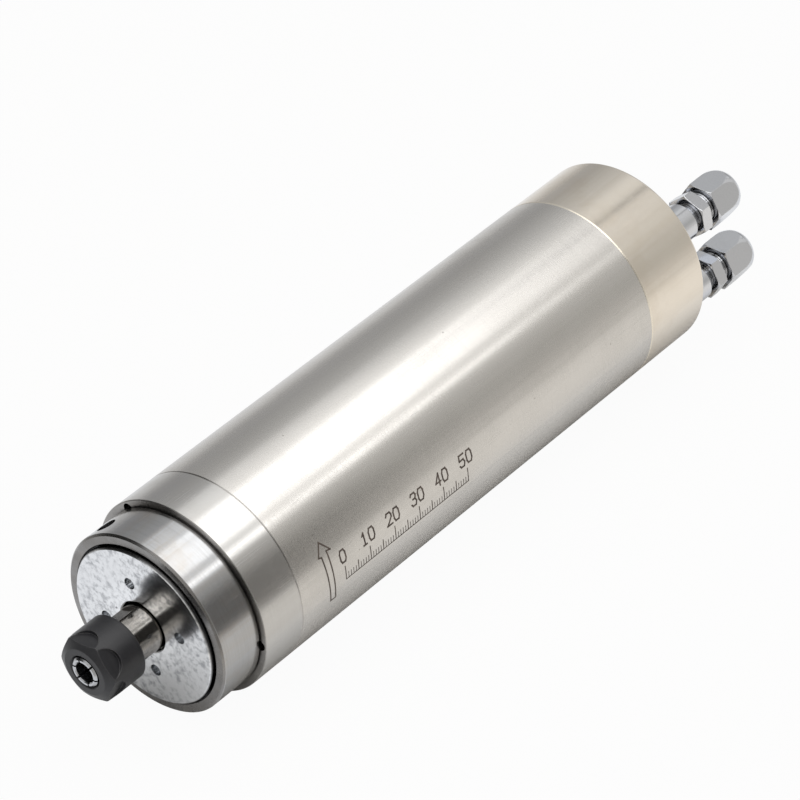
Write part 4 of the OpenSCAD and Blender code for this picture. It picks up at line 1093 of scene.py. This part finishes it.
@dataclass
class Studio:
    """The floor, the lights, the world and the camera."""

    floor_z: float = -0.0292
    floor_size: float = 8.0
    camera_at: tuple[float, float, float] = (0.518343, -0.621675, 0.694810)
    view: tuple[float, float, float] = (-0.48889, 0.58566, -0.64651)
    lens: float = 177.14
    sensor: float = 36.0
    clip_start: float = 0.05
    softboxes: tuple[Softbox, ...] = (
        Softbox("wide_softbox", start_angle=52.0, end_angle=129.0, radiance=0.47),
        Softbox("main_softbox", start_angle=69.5, end_angle=105.0, radiance=0.95),
        Softbox("edge_softbox", start_angle=54.5, end_angle=60.5, radiance=1.3))
    sky: tuple[tuple[float, Colour], ...] = (
        (0.0, (0.68, 0.66, 0.625)), (7.0, (0.55, 0.53, 0.50)), (20.0, (0.45, 0.44, 0.415)),
        (31.0, (0.47, 0.46, 0.435)), (43.0, (0.52, 0.51, 0.49)), (50.0, (0.58, 0.57, 0.545)),
        (57.0, (0.60, 0.59, 0.565)), (75.0, (0.66, 0.65, 0.63)), (89.0, (0.65, 0.64, 0.62)),
        (92.5, (0.62, 0.61, 0.595)), (95.5, (0.36, 0.355, 0.345)), (98.0, (0.36, 0.355, 0.345)),
        (101.0, (0.62, 0.61, 0.595)), (106.0, (0.68, 0.675, 0.655)), (115.0, (0.70, 0.695, 0.68)),
        (121.0, (0.62, 0.62, 0.61)), (127.0, (0.53, 0.53, 0.525)), (133.0, (0.50, 0.50, 0.495)),
        (139.0, (0.47, 0.47, 0.465)), (151.0, (0.40, 0.40, 0.395)), (163.0, (0.345, 0.345, 0.345)),
        (180.0, (0.36, 0.36, 0.365)))
    cards: tuple[Card, ...] = (
        Card("nose_card", angle=15.0, y=0.025, width=0.26, length=0.17, tone=0.36, edge=0.3),
        Card("front_right_card", angle=27.0, y=-0.255, width=0.23, length=0.24, tone=0.10, edge=0.7),
        Card("front_left_card", angle=160.0, y=-0.255, width=0.30, length=0.24, tone=0.05, edge=0.7))
    camera_share: float = 0.955
    white_sky: float = 0.05
    matt_dark: Colour = (0.58, 0.575, 0.565)
    matt_pale: Colour = (0.61, 0.605, 0.595)
    # Painted warm light on the right of the floor's glow in polished metal, cool on the left.
    cool_side: Colour = (0.96, 0.975, 1.0)
    warm_side: Colour = (1.0, 0.965, 0.91)
    warm_from: float = 0.03
    warm_to: float = 0.07
    half_length: float = 0.10
    side_blur: float = 0.03
    front_blur: float = 0.004
    # How white the floor glows in polished metal by distance from the spindle: a painted glow, with a
    # painted shadow near the spindle.
    glow_left: Stops = (
        (0.0, 0.0), (0.02, 0.10), (0.034, 0.5), (0.05, 1.0), (0.07, 1.0), (0.10, 0.66),
        (0.17, 0.40), (0.45, 0.22), (1.0, 0.20))
    glow_right: Stops = (
        (0.0, 0.0), (0.023, 0.0), (0.034, 0.12), (0.051, 0.47), (0.09, 0.62), (0.15, 0.62),
        (0.5, 0.48), (1.0, 0.40))
    glow_front: Stops = (
        (0.0, 0.0), (0.0144, 0.12), (0.024, 0.42), (0.030, 0.55), (0.043, 0.88), (0.07, 0.88),
        (0.10, 0.5), (0.14, 0.05), (1.0, 0.1))

    def build(self) -> None:
        """Builds the whole studio."""
        self.add_floor()
        for softbox in self.softboxes:
            softbox.build()
        for card in self.cards:
            card.build()
        self.add_world()
        self.add_camera()
        bpy.context.scene.view_settings.view_transform = "Standard"

    def add_floor(self) -> None:
        """Adds the white floor, which keeps the shadow, glows in polished metal with painted light
        and shade, and is clear to a camera below it.
        """
        material, g = new_material("white_floor")
        place = g.place()
        tone = g.mix(g.noise(place, scale=30.0, detail=3.0), self.matt_dark, self.matt_pale)
        matt = g.add("ShaderNodeBsdfPrincipled", {"Base Color": tone, "Roughness": MATT,
                                                  "Specular IOR Level": 0.1})
        path = g.add("ShaderNodeLightPath")
        # Painted warm and cool light in the floor's glow.
        right = g.smooth(g.axes(place)["X"], self.warm_from, self.warm_to)
        tint = g.mix(right, self.cool_side, self.warm_side)
        paper = g.mix(path.outputs["Is Camera Ray"], tint, WHITE)
        white = g.add("ShaderNodeEmission", {"Color": paper, "Strength": 1.0})
        seen_white = g.math("MULTIPLY", path.outputs["Is Camera Ray"], self.camera_share)
        # Painted glow and painted shadow, which polished metal shows in the floor.
        mirrored = g.math("MULTIPLY", g.shiny(path), self.glossy_share(g, place))
        share = g.math("ADD", seen_white, mirrored, clamp=True)
        both = g.add("ShaderNodeMixShader", {0: share, 1: matt.outputs[0], 2: white.outputs[0]})
        back = g.add("ShaderNodeNewGeometry").outputs["Backfacing"]
        from_below = g.math("MULTIPLY", back, path.outputs["Is Camera Ray"])
        clear = g.add("ShaderNodeBsdfTransparent")
        seen = g.add("ShaderNodeMixShader", {0: from_below, 1: both.outputs[0], 2: clear.outputs[0]})
        g.add("ShaderNodeOutputMaterial", {"Surface": seen.outputs[0]})
        floor = flat_sheet("floor", self.floor_size / 2, self.floor_size / 2, material)
        floor.location = (0.0, 0.0, self.floor_z)

    def glossy_share(self, g: Graph, place: object) -> Socket:
        """Gives how white the floor glows in polished metal: a painted shadow under the spindle, a
        painted glow around it.

        Args:
            g: The floor material's graph.
            place: Object coordinates.

        Returns:
            The share's socket.
        """
        axes = g.axes(place)
        past_end = g.math("SUBTRACT", g.math("ABSOLUTE", axes["Y"]), self.half_length)
        spot = g.add("ShaderNodeCombineXYZ", {"X": axes["X"], "Y": g.math("MAXIMUM", past_end, 0.0)})
        away = g.length(spot.outputs[0])
        left, right, front = (g.ramp(away, [(x, (v, v, v)) for x, v in stops])
                              for stops in (self.glow_left, self.glow_right, self.glow_front))
        sides = g.mix(g.smooth(axes["X"], -self.side_blur, self.side_blur), left, right)
        before_nose = g.smooth(axes["Y"], -self.half_length, -self.half_length - self.front_blur)
        return g.mix(before_nose, sides, front)

    def add_world(self) -> None:
        """Adds the studio's walls: pale and dark strips that run along the spindle."""
        world = bpy.data.worlds.new("studio")
        bpy.context.scene.world = world
        world.use_nodes = True
        world.node_tree.nodes.clear()
        g = Graph(world.node_tree)
        way = g.axes(g.add("ShaderNodeTexCoord").outputs["Generated"])
        angle = g.math("ARCTAN2", way["Z"], way["X"])
        share = g.math("DIVIDE", angle, math.pi, clamp=True)
        strips = g.ramp(share, [(degrees / 180, colour) for degrees, colour in self.sky])
        studio = g.add("ShaderNodeBackground", {"Color": strips, "Strength": 1.0})
        white = g.add("ShaderNodeBackground", {"Color": rgba(WHITE), "Strength": 1.0})
        path = g.add("ShaderNodeLightPath")
        mirrored = g.math("MULTIPLY", g.shiny(path), self.white_sky)
        mixed = g.math("ADD", path.outputs["Is Camera Ray"], mirrored, clamp=True)
        both = g.add("ShaderNodeMixShader", {0: mixed, 1: studio.outputs[0], 2: white.outputs[0]})
        g.add("ShaderNodeOutputWorld", {"Surface": both.outputs[0]})

    def add_camera(self) -> None:
        """Adds the camera at the photograph's place."""
        data = bpy.data.cameras.new("camera")
        data.lens = self.lens
        data.sensor_width = self.sensor
        data.sensor_fit = "HORIZONTAL"
        data.clip_start = self.clip_start
        camera = bpy.data.objects.new("camera", data)
        back = -Vector(self.view).normalized()
        right = Vector((0.0, 0.0, 1.0)).cross(back).normalized()
        up = back.cross(right)
        camera.matrix_world = placed(right, up, back, Vector(self.camera_at))
        bpy.context.scene.collection.objects.link(camera)
        bpy.context.scene.camera = camera


def main() -> None:
    """Builds the looks: the finishes, then each sub-assembly, the marks and the studio."""
    logging.basicConfig(level=logging.INFO)
    build_effects()
    materials = {slot: finish.build() for slot, finish in FINISHES.items()}
    for group in SUB_ASSEMBLIES:
        group.build(materials)
    CasingMarks().build(EtchedMark().build())
    Studio().build()


if __name__ == "__main__":
    main()
